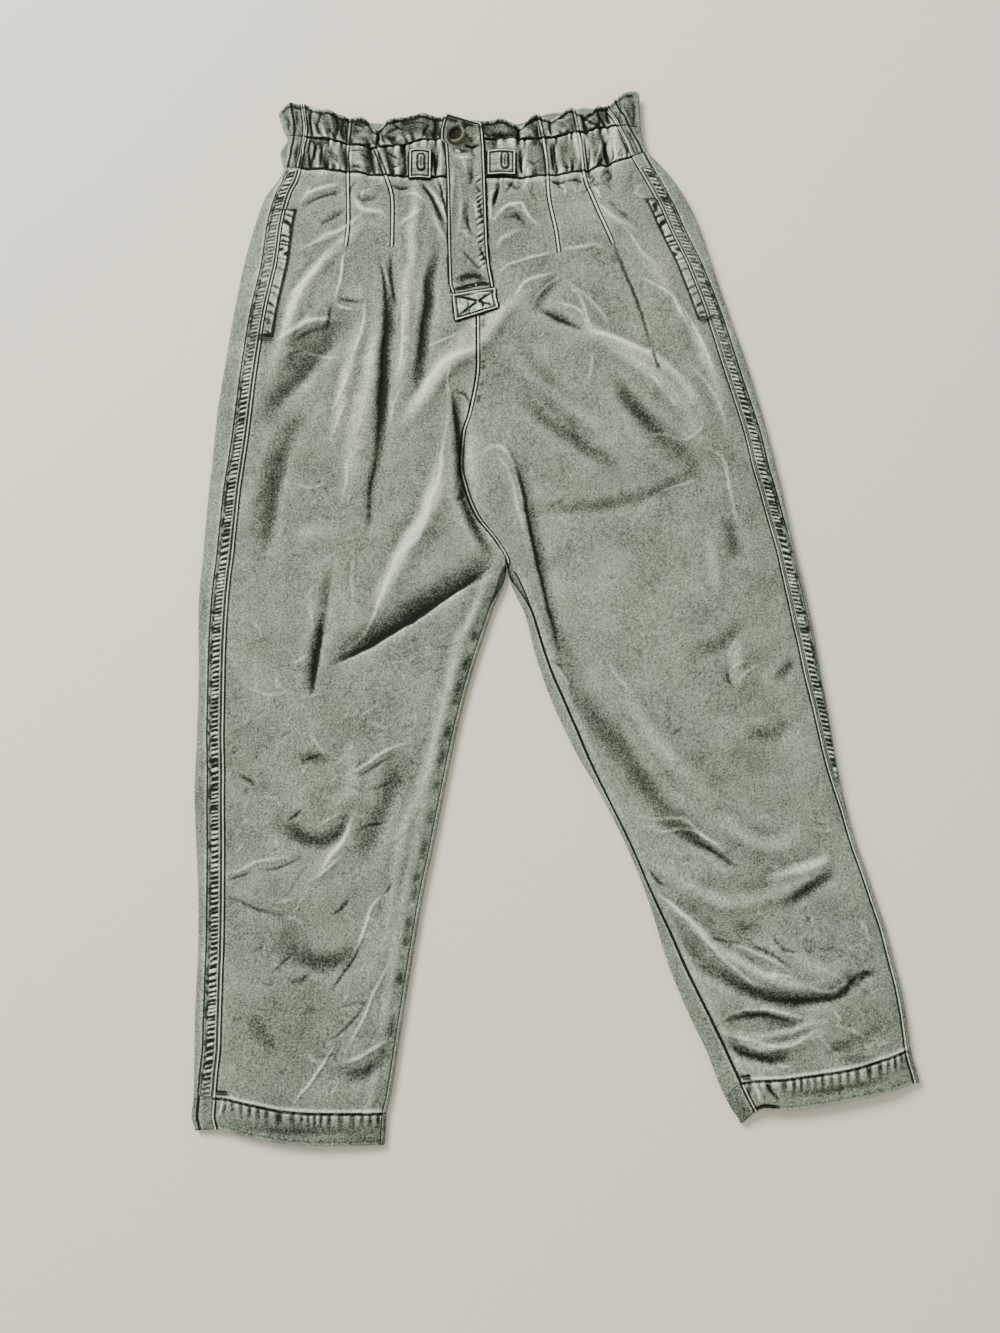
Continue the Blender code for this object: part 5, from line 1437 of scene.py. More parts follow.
def laid_shell(name, grid, wall, stride, material):
    """A closed cloth wall: a fine upper face and a plainer underside."""
    x, y, z = grid.x, grid.y, grid.z
    rows, columns = z.shape
    under_z = lowest_near(z, stride) - wall
    under_x, under_y = x[::stride, ::stride], y[::stride, ::stride]
    under_rows, under_columns = under_z.shape
    points = np.concatenate([
        corner_points(x, y, z).reshape(-1, 3),
        corner_points(under_x, under_y, under_z).reshape(-1, 3)])
    top_index = np.arange(rows * columns).reshape(rows, columns)
    start = rows * columns
    under_index = start + np.arange(under_z.size).reshape(under_rows, under_columns)
    across = corner_points(x[0, -1] - x[0, 0], y[0, -1] - y[0, 0], 0.0)
    along = corner_points(x[-1, 0] - x[0, 0], y[-1, 0] - y[0, 0], 0.0)
    faces_up = across[0] * along[1] - across[1] * along[0] > 0
    faces = grid_faces(rows, columns, not faces_up).tolist()
    faces += grid_faces(under_rows, under_columns, faces_up, start).tolist()
    rims = (
        (top_index[0], under_index[0]),
        (top_index[:, -1], under_index[:, -1]),
        (top_index[-1, ::-1], under_index[-1, ::-1]),
        (top_index[::-1, 0], under_index[::-1, 0]),
    )
    for fine, plain in rims:
        for k in range(len(plain) - 1):
            run = fine[k * stride:(k + 1) * stride + 1]
            half = stride // 2
            for m in range(stride):
                foot = plain[k] if m < half else plain[k + 1]
                faces.append((run[m + 1], run[m], foot))
            faces.append((run[half], plain[k], plain[k + 1]))
    mesh = bpy.data.meshes.new(name)
    mesh.from_pydata(points.tolist(), [], [tuple(map(int, f)) for f in faces])
    for part in ("tone", "edge", "groove", "dart"):
        values = getattr(grid, part)
        under = values[::stride, ::stride]
        add_wear_and_shade(mesh, part, np.concatenate([values.ravel(), under.ravel()]))
    face_outwards(mesh)
    return finished(name, mesh, material)


def face_outwards(mesh):
    form = bmesh.new()
    form.from_mesh(mesh)
    bmesh.ops.recalc_face_normals(form, faces=form.faces)
    form.to_mesh(mesh)
    form.free()


def linked(name, data):
    thing = bpy.data.objects.new(name, data)
    bpy.context.collection.objects.link(thing)
    return thing


def finished(name, mesh, material):
    mesh.materials.append(material)
    mesh.shade_smooth()
    return linked(name, mesh)


def wrapped_shell(name, grid, wall, material):
    """A cloth wall that wraps round: an outer face and a Solidify inwards."""
    rows, columns = grid.z.shape
    points = corner_points(grid.x, grid.y, grid.z)
    a = points[0, FLOOR_COLUMN + 1] - points[0, FLOOR_COLUMN]
    b = points[1, FLOOR_COLUMN] - points[0, FLOOR_COLUMN]
    looks_up = a[0] * b[1] - a[1] * b[0] > 0
    mesh = bpy.data.meshes.new(name)
    mesh.from_pydata(points.reshape(-1, 3).tolist(), [],
                     grid_faces(rows, columns, looks_up).tolist())
    for part in ("tone", "edge", "groove", "dart"):
        add_wear_and_shade(mesh, part, getattr(grid, part))
    piece = finished(name, mesh, material)
    wall_maker = piece.modifiers.new("wall", "SOLIDIFY")
    wall_maker.thickness = wall * MM
    wall_maker.offset = -1.0
    wall_maker.use_even_offset = False
    return piece


def steps(count):
    return np.linspace(0.0, 1.0, count + 1)


def front_grid(half, rows, columns, row_y, detail, reach):
    across, share = np.meshgrid(steps(columns), steps(rows))
    x, y, from_out, from_in = half.front_plan(across, share, row_y)
    z, tone = half.top(x, y)
    more, shade, edge, groove = detail(half, x, y, from_out, from_in, share)
    z = z + more
    dart = DARTED.from_nearest(x, y)
    return Grid(x, y, z, worn(z, tone + shade, reach), edge, groove, dart)


TOP_STEPS, ROLL_STEPS, FLOOR_STEPS, INNER_TOP_STEPS = 16, 8, 18, 8
FLOOR_COLUMN = TOP_STEPS + ROLL_STEPS + FLOOR_STEPS // 2


HEM_BACK_SHADE = -0.28


def back_grid(half, rows, row_y, detail, free_rise=0.0, shade=0.0):
    """The outside of a back, from the outseam round the floor to the inseam."""
    parts = [("outer_top", k / TOP_STEPS, 1.0) for k in range(TOP_STEPS)]
    parts += [("outer_roll", k / ROLL_STEPS, 1.0 - k / ROLL_STEPS)
              for k in range(ROLL_STEPS)]
    parts += [("floor", k / FLOOR_STEPS, 0.0) for k in range(FLOOR_STEPS)]
    parts += [("inner_roll", k / ROLL_STEPS, 0.0) for k in range(ROLL_STEPS)]
    parts += [("inner_top", k / INNER_TOP_STEPS, 0.0)
              for k in range(INNER_TOP_STEPS + 1)]
    share = steps(rows)
    columns = []
    for part, way, upper in parts:
        def x_at(y, part=part, way=way):
            return half.back_section(part, way, y)[0]

        y = half.settle(share, row_y, upper, x_at)[1]
        x, z, tone = half.back_section(part, way, y)
        tone = tone + shade
        edge, groove = np.full_like(y, FAR), np.full_like(y, FAR)
        if part == "outer_top":
            away = half.level("outseam", y) - np.abs(x - half.outer(y))
            more, detail_wear_and_shade, edge, groove = detail(half, x, y, away, share)
            fade = smoothstep(0.0, 0.1, 1.0 - way)
            z, tone = z + fade * more, tone + fade * detail_wear_and_shade
        if part == "inner_top":
            groove = (1.0 - way) * half.level("inseam", y)
        if part == "floor" and free_rise:
            fade = smoothstep(0.0, 0.06, way) * smoothstep(0.0, 0.06, 1.0 - way)
            wave = 0.5 + 0.5 * np.sin(x / 3.6 + 3.0 * SWELL(x, y))
            z = z + free_rise * wave * fade * smoothstep(0.3, 1.0, share)
        columns.append((x, y, z, tone, edge, groove))
    return Grid(*(np.stack(parts, axis=1) for parts in zip(*columns)))


def plain_back(_half, _x, y, away, _share):
    calm = np.zeros_like(y)
    return calm, calm, np.full_like(y, FAR), away - STRIP_WIDTH - 0.6


def waist_back(_half, x, y, away, share):
    """The band's end beyond the felled outseam, gathered as its front is."""
    height = lip_height(away) + 0.3 * bump(away - 9.0, 3.0)
    ladder = bump(away - 7.0, 3.5) * (LADDER_SHARP(1.6 * y) - 0.5)
    gather = bump(share, 0.45) * (CASING_FINE(x) - 0.5)
    height += 1.6 * gather + 0.5 * ladder
    # Painted highlight and shade on the ladder's puckers and the gathers, painted shade at the
    # stitched foot, and darker overall.
    tone = 0.7 * ladder + 0.7 * gather - 0.5 * bump(share, 0.08) - 0.25
    fold, shade = WAISTED(x, y)
    return height + 0.6 * fold, tone + shade, away, away - 11.0


def frill_back(half, x, y, away, share):
    """The frill's end beyond the outseam, with the stitched hem of its front."""
    height, tone, edge, groove = waist_back(half, x, y, away, share)
    depth = 34.0 * (1.0 - share)
    nips = smoothstep(0.45, 0.75, FRILL_FINE(1.6 * x + 177.0))
    # Painted shade along the hem stitching and in its small nips; the free edge is paler.
    tone = tone - (0.6 + 0.8 * nips) * bump(depth - FRILL_HEM, 2.0)
    return height, tone + 0.4 * bump(depth - 0.6, 1.4), edge, groove


# Laid pieces: the height of the cloth under a piece, then the piece's form.

def cloth_below(x, y, reach):
    """The highest cloth of the fronts near each plan point."""
    best = np.full(x.shape, -np.inf)
    for dx in (-reach, 0.0, reach):
        for dy in (-reach, 0.0, reach):
            for half in HALVES:
                px, py = x + dx, y + dy
                inside = (half.inner(py) - px) * half.toward_centre > -0.5
                height = half.top(px, py)[0]
                puff = 1.3 * np.sin(np.pi * np.clip(
                    (py - half.waist("casing_y", px))
                    / (half.waist("frill_y", px) - half.waist("casing_y", px)), 0, 1))
                best = np.maximum(best, np.where(inside, height + puff, -np.inf))
    return best


def strip_plan(table, u, v, foot_rise=0.0, top_rise=0.0):
    """Plan points of a strip from its levels, with straight or slanted ends."""
    curves = Curves(STRIP_LEVELS, table)
    low, high = table[0][0], table[-1][0]
    y = (low + foot_rise * u) * (1 - v) + (high + top_rise * u) * v
    level = np.clip(y, low, high)
    x = curves("left_x", level) * (1 - u) + curves("right_x", level) * u
    return x, y


FLY_WIDTH, FLY_LENGTH, FLY_WALL = 45.0, 186.0, 1.2
FLY_RIPPLE = Drift(27, 4.0)


def halo(table, foot_rise=0.0, top_rise=0.0):
    """Rows for the painted shade that a laid strip's outline casts on the cloth under it."""
    share = steps(12)
    sides = [strip_plan(table, 0.0 * share + u, share, foot_rise, top_rise)
             for u in (0.0, 1.0)]
    sides += [strip_plan(table, share, 0.0 * share + v, foot_rise, top_rise)
              for v in (0.0, 1.0)]
    return [(0.0, 1.9, 1.9, 0.9, -1.5, *zip(x, y)) for x, y in sides]


HALOED = Creases(halo(FLY_LEVELS, FLY_FOOT_RISE, FLY_TOP_RISE) + halo(TAB_LEFT)
                 + halo(FLY_BASE_PATCH, PATCH_FOOT_RISE, PATCH_TOP_RISE)
                 + halo(TAB_RIGHT), 1.0, 60.0)


def laid_strip(table, rows, columns, reach, lift, *rises):
    """Shares across and along a strip, its plan and its height on the cloth."""
    u, v = np.meshgrid(steps(columns), steps(rows))
    x, y = strip_plan(table, u, v, *rises)
    return u, v, x, y, blurred(cloth_below(x, y, reach), 4) + SEAM_GAP + lift


def fly_grid(rows, columns):
    u, v, x, y, z = laid_strip(FLY_LEVELS, rows, columns, 4.0, FLY_WALL,
                               FLY_FOOT_RISE, FLY_TOP_RISE)
    from_left = u * FLY_WIDTH
    from_right = (1.0 - u) * FLY_WIDTH
    from_top = (1.0 - v) * FLY_LENGTH
    edge = np.minimum(np.minimum(from_left, from_right), from_top + 0.8)
    z += lip_height(edge)
    slant = y + 0.6 * from_right
    pucker = np.tanh(1.6 * np.sin(2.0 * np.pi * (slant / 6.2 + 1.2 * HEM_DRIFT(slant))))
    where = bump(from_right - 7.5, 6.5) * smoothstep(284.0, 300.0, y)
    where *= 1.0 - smoothstep(385.0, 405.0, y)
    where *= smoothstep(0.15, 0.6, HEM_AMOUNT(y + 300.0))
    z += 0.6 * where * pucker
    # Painted highlight and shade on the puckers beside the right edge.
    tone = 0.95 * where * pucker - 0.08
    # Painted shade in the small nips along the top edge, and darker towards the top.
    nips = smoothstep(0.35, 0.65, FLY_RIPPLE(1.5 * x)) * bump(from_top - 5.0, 3.2)
    tone -= 1.1 * nips + 0.25 * smoothstep(424.0, 436.0, y)
    dip, dip_tone = FLY_FOLDS(x, y)
    z += dip
    tone += dip_tone
    hole_x, hole_y = FLY_HOLE
    along = np.maximum(np.abs(x - hole_x) - HOLE_HALF_LENGTH + 1.5, 0.0)
    away = np.hypot(along, y - hole_y)
    z -= 0.5 * bump(away, 1.6)
    # Painted shade in the buttonhole's slit and round it.
    tone -= 1.0 * bump(away, 1.5) + 0.35 * bump(away, 7.0)
    return Grid(x, y, z, worn(z, tone, 4), edge, away - 0.2)


# Folds of the fly, as the creases are given: painted shade at its foot and beside the button
# and its hole, and painted highlight on small ridges.
FLY_FOLDS = Creases(fold_rows("""
-1 3 .3 -.8  -69,359 0,-15 5,-13
-1.2 3 .4 -1  -59,374 2,-13 2,-12 0,-8
-.8 3 .3 -.6  -63,387 4,-5 3,-4
1 3 .3 .6  -62,369 1,-13 2,-7
.8 3 .3 .5  -78,338 6,-2 4,-8
-.8 4 .2 -.5  -76,318 9,-10 10,-13
-1.6 4 6 .4 -2.6  -83,275 14,4 14,3 9,-1
-.6 11 0 -1.1  -82,283 10,6 10,1 12,-6
1 3 .4 .6  -61,308 5,-5 5,-10
-1 3 .4 -1.5  -58,321 3,-8 5,-10
.8 5 .1 .4  -77,421 4,-10 2,-11
-.8 5 .1 -.4  -67,421 2,-15 -2,-16
-1.2 3 4 .3 -1.8  -74,430 9,-2 8,3
-1.4 4 .3 -1.8  -75,437 4,3 7,-6
-1 3 .4 -.9  -89,449 1,-9 2,-10
.8 3 .3 .5  -61,445 2,-7 -2,-6
-1.4 6 5 .5 -.75  -86,426 10,-3 10,1
1 4 .5 .45  -86,418 10,-3 14,2
-1 5 .3 -.5  -62,432 -4,-8 6,-12
-.9 5 .2 -.4  -68,372 -4,-16 4,-18
-.9 6 .2 -.4  -70,408 4,-12 -2,-12
.9 4 .4 .3  -86,412 2,-12 -2,-50
.8 5 .3 .28  -78,390 2,-30 -4,-35
-1.2 4 .6 -.85  -70,455 -4,-7 2,-7
"""))

# Folds of the foot patch, as the creases are given: painted shade in the crossing creases and
# painted highlight on the puffs between them.
PATCH_FOLDS = Creases(fold_rows("""
-1 3.2 .8 -2.2  -84,269 20,-4 22,-7
-1 3.2 .8 -2.2  -80,246 18,15 20,14
-.8 2.4 .8 -1.2  -69,266 1,-9 2,-10
-.7 2.6 .8 -2  -56,266 2,-7 -1,-7
1.3 5 .3 1.2  -80,258 4,-1 5,0
1.3 4 .3 1.2  -66,272 8,-1 8,1
1.2 4 .3 1.2  -62,255 6,0 8,2
"""))


def patch_grid(rows, columns):
    u, v, x, y, z = laid_strip(FLY_BASE_PATCH, rows, columns, 2.0, TRIM,
                               PATCH_FOOT_RISE, PATCH_TOP_RISE)
    edge = np.minimum(np.minimum(u, 1.0 - u) * 44.0, np.minimum(v, 1.0 - v) * 29.0)
    more, shade = PATCH_FOLDS(x, y)
    z += more + lip_height(edge)
    # The patch is paler overall; painted shade in the line inside its edge, and darker patches
    # near the edge.
    tone = 0.62 + shade - 0.9 * bump(edge - 3.8, 2.2)
    tone -= 0.8 * smoothstep(0.55, 0.75, FLY_RIPPLE(1.5 * x + 0.8 * y)) * bump(edge - 7.0, 4.0)
    return Grid(x, y, z, worn(z, tone, 3), edge, 2.2 * (edge - 3.6))


def tab_grid(table, hole, rows, columns):
    u, v, x, y, z = laid_strip(table, rows, columns, 2.0, TRIM)
    width = table[0][2] - table[0][1]
    length = table[1][0] - table[0][0]
    edge = np.minimum(np.minimum(u, 1.0 - u) * width, np.minimum(v, 1.0 - v) * length)
    hole_x, hole_y = hole
    along = np.maximum(np.abs(y - hole_y) - HOLE_HALF_LENGTH, 0.0)
    away = np.hypot(x - hole_x, along)
    z += lip_height(edge) + 0.5 * bump(away - 1.8, 1.5) - 0.7 * bump(away, 0.9)
    ripple = CASING_FINE(1.3 * y + 40.0) - 0.5
    # Paler round the buttonhole, painted shade in its slit.
    tone = 1.0 * bump(away - 1.4, 1.0) - 1.2 * bump(away, 0.9) - 0.16 + 0.5 * ripple
    groove = away - 3.4
    return Grid(x, y, z, worn(z, tone, 3), edge, groove)


LADDER_PITCH = 4.2
LADDER_DRIFT = Drift(31, 34.0)
LADDER_AMOUNT = Drift(32, 11.0)
LADDER_SHARP = Drift(33, 5.0)


def strip_grid(half, y_range, rows, columns):
    """The felled strip beside an outseam, puckered like a ladder."""
    low, high = y_range
    u, y = np.meshgrid(steps(columns), low + steps(rows) * (high - low))
    seam = half.level("outseam", y)
    end = np.maximum(-STRIP_WIDTH, EDGE_MARGIN - seam)
    depth = seam - STRIP_INSET + u * (end + STRIP_INSET)
    x = half.outer(y) + half.toward_centre * depth
    z, tone = half.top(x, y)
    z = z + SEAM_GAP + TRIM
    away = seam - depth
    z += 0.5 * lip_height(away) - 0.4 * bump(away - 10.8, 1.3)
    phase = y / LADDER_PITCH + 2.2 * LADDER_DRIFT(y) + 0.05 * away
    wave = np.sin(2.0 * np.pi * phase) + 1.8 * (LADDER_SHARP(y * 1.7) - 0.5) - 0.25
    bars = np.tanh(3.0 * wave)
    window = smoothstep(2.0, 3.0, away) * (1.0 - smoothstep(8.0, 9.4, away))
    amount = smoothstep(-0.5, 0.35, LADDER_AMOUNT(y)) * window
    amount *= 1.0 - 0.4 * smoothstep(180.0, 230.0, y) * (1 - smoothstep(360.0, 380.0, y))
    z += 0.5 * amount * bars
    # Painted highlight and shade on the ladder's puckers.
    tone = tone + amount * np.where(bars > 0.0, 0.75, 1.25) * bars + 0.06 * window
    dashes = smoothstep(0.35, 0.6, LADDER_SHARP(y * 2.3 + 50.0))
    feathers = smoothstep(0.45, 0.8, LADDER_SHARP(y * 1.4 + 90.0))
    tone -= 1.1 * dashes * bump(away - 9.6, 1.5) + 0.7 * feathers * bump(away - 11.0, 3.0)
    ends = smoothstep(low - 1.0, low + 24.0, y)
    return Grid(x, y, z, worn(z, tone * (0.3 + 0.7 * ends), 3), None, away)


WELT_DRIFT = Drift(34, 8.0)


def pocket_grid(half, y_range, rows, columns):
    """The pocket edge inside an outseam, drawn up in slanting puckers."""
    low, high = y_range
    u, y = np.meshgrid(steps(columns), low + steps(rows) * (high - low))
    away = STRIP_INSET + u * (WELT_WIDTH - STRIP_INSET)
    depth = half.level("outseam", y) + away
    x = half.outer(y) + half.toward_centre * depth
    z, under_tone = half.top(x, y)
    z = z + SEAM_GAP + TRIM + 0.4 * lip_height(away)
    slant = (y + 0.15 * away + 0.03 * away ** 2) / 8.5 + 1.6 * WELT_DRIFT(y)
    wave = np.sin(2.0 * np.pi * slant) + 1.4 * (LADDER_SHARP(1.1 * y + 0.3 * away) - 0.5)
    bars = np.tanh(2.4 * (wave + 0.55))
    window = smoothstep(2.6, 4.4, away) * (1.0 - smoothstep(11.0, 12.4, away))
    amount = window * (0.3 + 0.7 * LADDER_AMOUNT(y + 55.0))
    z += 0.7 * amount * bars
    # Painted highlight and shade on the slanting puckers, darkest in their hollows.
    tone = 0.3 * under_tone + 0.60 * amount * bars - 0.10 * window
    tone -= 1.0 * amount * smoothstep(0.0, -0.8, bars)
    tone -= 1.6 * bump(y - low - 1.6, 2.2) + 1.2 * bump(high - y - 0.6, 1.6)
    return Grid(x, y, z, worn(z, tone, 3), away, away - 12.3)


# Materials

class NodeTree:
    """Adds nodes to a tree; an input is a value or another node's output."""

    def __init__(self, tree):
        self.tree = tree

    def put(self, socket, value):
        if isinstance(value, bpy.types.NodeSocket):
            self.tree.links.new(value, socket)
        else:
            socket.default_value = value

    def add(self, kind, given=None, **inputs):
        node = self.tree.nodes.new(kind)
        for name, value in (given or {}).items():
            setattr(node, name, value)
        for name, value in inputs.items():
            self.put(node.inputs[name], value)
        return node

    def work(self, kind, first, second, clamp=False):
        node = self.add("ShaderNodeMath", {"operation": kind, "use_clamp": clamp})
        self.put(node.inputs[0], first)
        self.put(node.inputs[1], second)
        return node.outputs[0]

    def plus(self, first, second, clamp=False):
        return self.work("ADD", first, second, clamp)

    def times(self, first, second):
        return self.work("MULTIPLY", first, second)


class Finish(NodeTree):
    """A material whose patterns are given in millimetres of object space."""

    def __init__(self, name):
        self.material = bpy.data.materials.new(name)
        self.material.use_nodes = True
        super().__init__(self.material.node_tree)
        place = self.add("ShaderNodeTexCoord").outputs["Object"]
        self.place = self.add("ShaderNodeMapping", Vector=place,
                              Scale=(1 / MM, 1 / MM, 1 / MM)).outputs["Vector"]

    def shade(self, **inputs):
        """Sets the shader's inputs and gives the material."""
        shader = self.tree.nodes["Principled BSDF"]
        for name, value in inputs.items():
            self.put(shader.inputs[name.replace("_", " ")], value)
        return self.material

    def worn(self, attribute):
        return self.add("ShaderNodeAttribute", {"attribute_name": attribute}).outputs["Fac"]

    def noise(self, size, detail, roughness=0.5, stretch=None, bend=0.0):
        """Noise of about a size in millimetres over the piece, centred on 0."""
        place = self.place
        if stretch:
            place = self.add("ShaderNodeMapping", Vector=place, Scale=stretch,
                             Rotation=(0.0, 0.0, 0.1)).outputs["Vector"]
        node = self.add("ShaderNodeTexNoise", Vector=place, Scale=1 / size, Detail=detail,
                        Roughness=roughness, Distortion=bend)
        return self.work("SUBTRACT", node.outputs["Fac"], 0.5)

    def ramp(self, amount, *stops):
        """Colours by an amount, from pairs of a place and its colour."""
        node = self.add("ShaderNodeValToRGB", Fac=amount)
        elements = node.color_ramp.elements
        while len(elements) < len(stops):
            elements.new(0.5)
        for element, (place, colour) in zip(elements, stops):
            element.position = place
            element.color = (*colour, 1.0)
        return node.outputs["Color"]

    def wear(self, attribute, table):
        """How much darker or paler the cloth is at a distance, from -1 to 1."""
        distance = self.work("ABSOLUTE", self.worn(attribute), 0.0)
        curve = self.add("ShaderNodeFloatCurve", Value=self.work("DIVIDE", distance, FAR))
        points = curve.mapping.curves[0].points
        points[0].location = (table[0][0] / FAR, table[0][1])
        points[-1].location = (1.0, 0.5)
        for at, value in table[1:]:
            points.new(at / FAR, value)
        for point in points:
            point.handle_type = "VECTOR"
        curve.mapping.update()
        return self.times(self.work("SUBTRACT", curve.outputs["Value"], 0.5), 2.0)


# How the cloth is painted by its distance from an edge, a groove or a dart, in
# millimetres: 0 black, 0.5 plain, 1 palest. The black in sewn grooves, at the very edge,
# in the sewn-down lines of turned edges and beside darts is painted shade; the pale lips
# and dart ridges are painted highlight with some fading by rubbing.
EDGE_WEAR_AND_SHADE = ((0.0, 0.05), (0.3, 0.10), (0.6, 0.95), (1.4, 1.0), (1.7, 0.40),
             (1.9, 0.0), (2.9, 0.0), (3.3, 0.45), (4.2, 0.60), (5.5, 0.51), (7.0, 0.5))
GROOVE_WEAR_AND_SHADE = ((0.0, 0.0), (1.0, 0.0), (1.3, 0.40), (1.8, 0.74), (2.6, 0.66),
               (4.5, 0.51), (6.0, 0.5))
DART_WEAR_AND_SHADE = ((0.0, 0.97), (0.7, 0.93), (1.0, 0.06), (1.2, 0.0), (2.2, 0.0), (2.5, 0.50),
             (3.2, 0.64), (5.0, 0.51), (7.0, 0.5))


def twill_finish(name, settings, lift=0.0):
    """Washed cotton twill: a tone of painted shade and highlight with some fading, mottling,
    slub and a diagonal weave.
    """
    cloth = Finish(name)
    plus, times, noise = cloth.plus, cloth.times, cloth.noise
    cloud = noise(42.0, 3.0)
    mottle = noise(9.0, 4.0, 0.6)
    crinkle = noise(17.0, 4.0, 0.55, None, 0.9)
    speckle = noise(1.7, 3.0, 0.75)
    slub = noise(2.4, 2.0, 0.6, (1.0, 0.22, 1.0))
    # The seam tables add painted shade in grooves and beside darts, and painted highlight with
    # some fading on lips and dart ridges.
    seams = 0.0
    for attribute, table in (("edge", EDGE_WEAR_AND_SHADE), ("groove", GROOVE_WEAR_AND_SHADE),
                             ("dart", DART_WEAR_AND_SHADE)):
        seams = plus(cloth.wear(attribute, table), seams)
    total = times(plus(cloth.worn("tone"), seams), settings.tone_amount)
    for source, amount in ((cloud, settings.cloud_amount), (mottle, settings.mottle_amount),
                           (crinkle, settings.crinkle_amount),
                           (speckle, settings.speckle_amount), (slub, settings.slub_amount)):
        total = plus(total, times(source, amount))
    washed = cloth.ramp(
        plus(total, 0.5 + lift, clamp=True), (0.0, settings.black_green),
        (0.26, settings.dark_green), (0.5, settings.sage), (0.74, settings.worn_sage),
        (1.0, settings.bleached))
    tints = cloth.ramp(plus(noise(75.0, 2.0), 0.5), (0.35, settings.cool_tint),
                       (0.65, settings.warm_tint))
    tinted = cloth.add("ShaderNodeMix", {"data_type": "RGBA", "blend_type": "MULTIPLY"},
                       Factor=1.0, A=washed, B=tints)
    weave = cloth.add("ShaderNodeTexWave", {"bands_direction": "DIAGONAL"},
                      Vector=cloth.place, Scale=0.314 / settings.weave_pitch,
                      Distortion=1.2, Detail=1.0)
    height = plus(times(weave.outputs["Fac"], 0.35), times(speckle, 1.6))
    height = plus(height, times(crinkle, settings.crinkle_depth))
    bumps = cloth.add("ShaderNodeBump", Strength=settings.bump_strength,
                      Distance=settings.bump_depth * MM,
                      Height=plus(height, times(seams, 0.6)))
    return cloth.shade(
        Base_Color=tinted.outputs["Result"], Roughness=plus(times(speckle, 0.2), 0.88),
        Specular_IOR_Level=0.12, Sheen_Weight=0.06, Sheen_Roughness=0.5,
        Normal=bumps.outputs["Normal"])


def thread_finish(name, colour):
    """Cotton sewing thread, twisted and matt."""
    thread = Finish(name)
    faded = thread.ramp(thread.plus(thread.noise(4.0, 2.0), 0.5),
                        (0.0, [0.55 * c for c in colour]), (1.0, [1.5 * c for c in colour]))
    return thread.shade(Base_Color=faded, Roughness=0.75, Specular_IOR_Level=0.15)


def horn_finish(name, settings):
    """Horn: a pale streaky rim round a dark brown dish."""
    horn = Finish(name)
    streak = horn.noise(3.0, 3.0, 0.6, (1.0, 0.35, 1.0))
    streaky = horn.ramp(horn.plus(horn.worn("tone"), horn.times(streak, 0.35), clamp=True),
                        (0.25, settings.horn_centre), (0.75, settings.horn_rim))
    return horn.shade(Base_Color=streaky, Roughness=horn.plus(horn.times(streak, 0.15), 0.5),
                      Specular_IOR_Level=0.08)


def floor_finish(name, colour):
    material = bpy.data.materials.new(name)
    material.use_nodes = True
    shader = material.node_tree.nodes["Principled BSDF"]
    shader.inputs["Base Color"].default_value = (*colour, 1.0)
    shader.inputs["Roughness"].default_value = 0.95
    return material


# Stitching

def stitch_tree():
    """Stitches along lines: pitch, length, thickness and turn are its inputs."""
    tree = bpy.data.node_groups.new("sewn_row", "GeometryNodeTree")
    for label, kind in (("Geometry", "Geometry"), ("Pitch", "Float"),
                        ("Stitch Length", "Float"), ("Thread Thickness", "Float"),
                        ("Across The Line", "Bool"), ("Seed", "Int"),
                        ("Thread", "Material")):
        tree.interface.new_socket(label, in_out="INPUT", socket_type="NodeSocket" + kind)
    tree.interface.new_socket("Geometry", in_out="OUTPUT",
                              socket_type="NodeSocketGeometry")
    sewing = NodeTree(tree)
    add, put = sewing.add, sewing.put
    given = add("NodeGroupInput").outputs
    line = add("GeometryNodeMeshToCurve", Mesh=given["Geometry"])
    spaced = add("GeometryNodeResampleCurve", {"mode": "LENGTH"},
                 Curve=line.outputs["Curve"], Length=given["Pitch"])
    tangent = add("GeometryNodeInputTangent").outputs["Tangent"]
    sideways = add("ShaderNodeVectorMath", {"operation": "CROSS_PRODUCT"})
    put(sideways.inputs[0], tangent)
    put(sideways.inputs[1], (0.0, 0.0, 1.0))
    ways = {"False": tangent, "True": sideways.outputs["Vector"]}
    way = add("GeometryNodeSwitch", {"input_type": "VECTOR"},
              Switch=given["Across The Line"], **ways)
    turn = add("FunctionNodeAlignRotationToVector", {"axis": "X"},
               Vector=way.outputs["Output"])
    bead = add("GeometryNodeMeshUVSphere", Segments=6, Rings=4, Radius=0.5)
    wobble = add("FunctionNodeRandomValue", {"data_type": "FLOAT"}, Seed=given["Seed"])
    put(wobble.inputs[2], 0.82)
    put(wobble.inputs[3], 1.12)
    length = sewing.times(given["Stitch Length"], wobble.outputs[1])
    thick = given["Thread Thickness"]
    size = add("ShaderNodeCombineXYZ", X=length, Y=thick, Z=thick)
    placed = add("GeometryNodeInstanceOnPoints", Points=spaced.outputs["Curve"],
                 Instance=bead.outputs["Mesh"], Rotation=turn.outputs["Rotation"],
                 Scale=size.outputs["Vector"])
    real = add("GeometryNodeRealizeInstances", Geometry=placed.outputs["Instances"])
    smooth = add("GeometryNodeSetShadeSmooth", Geometry=real.outputs["Geometry"])
    finish = add("GeometryNodeSetMaterial", Geometry=smooth.outputs["Geometry"],
                 Material=given["Thread"])
    add("NodeGroupOutput", Geometry=finish.outputs["Geometry"])
    return tree


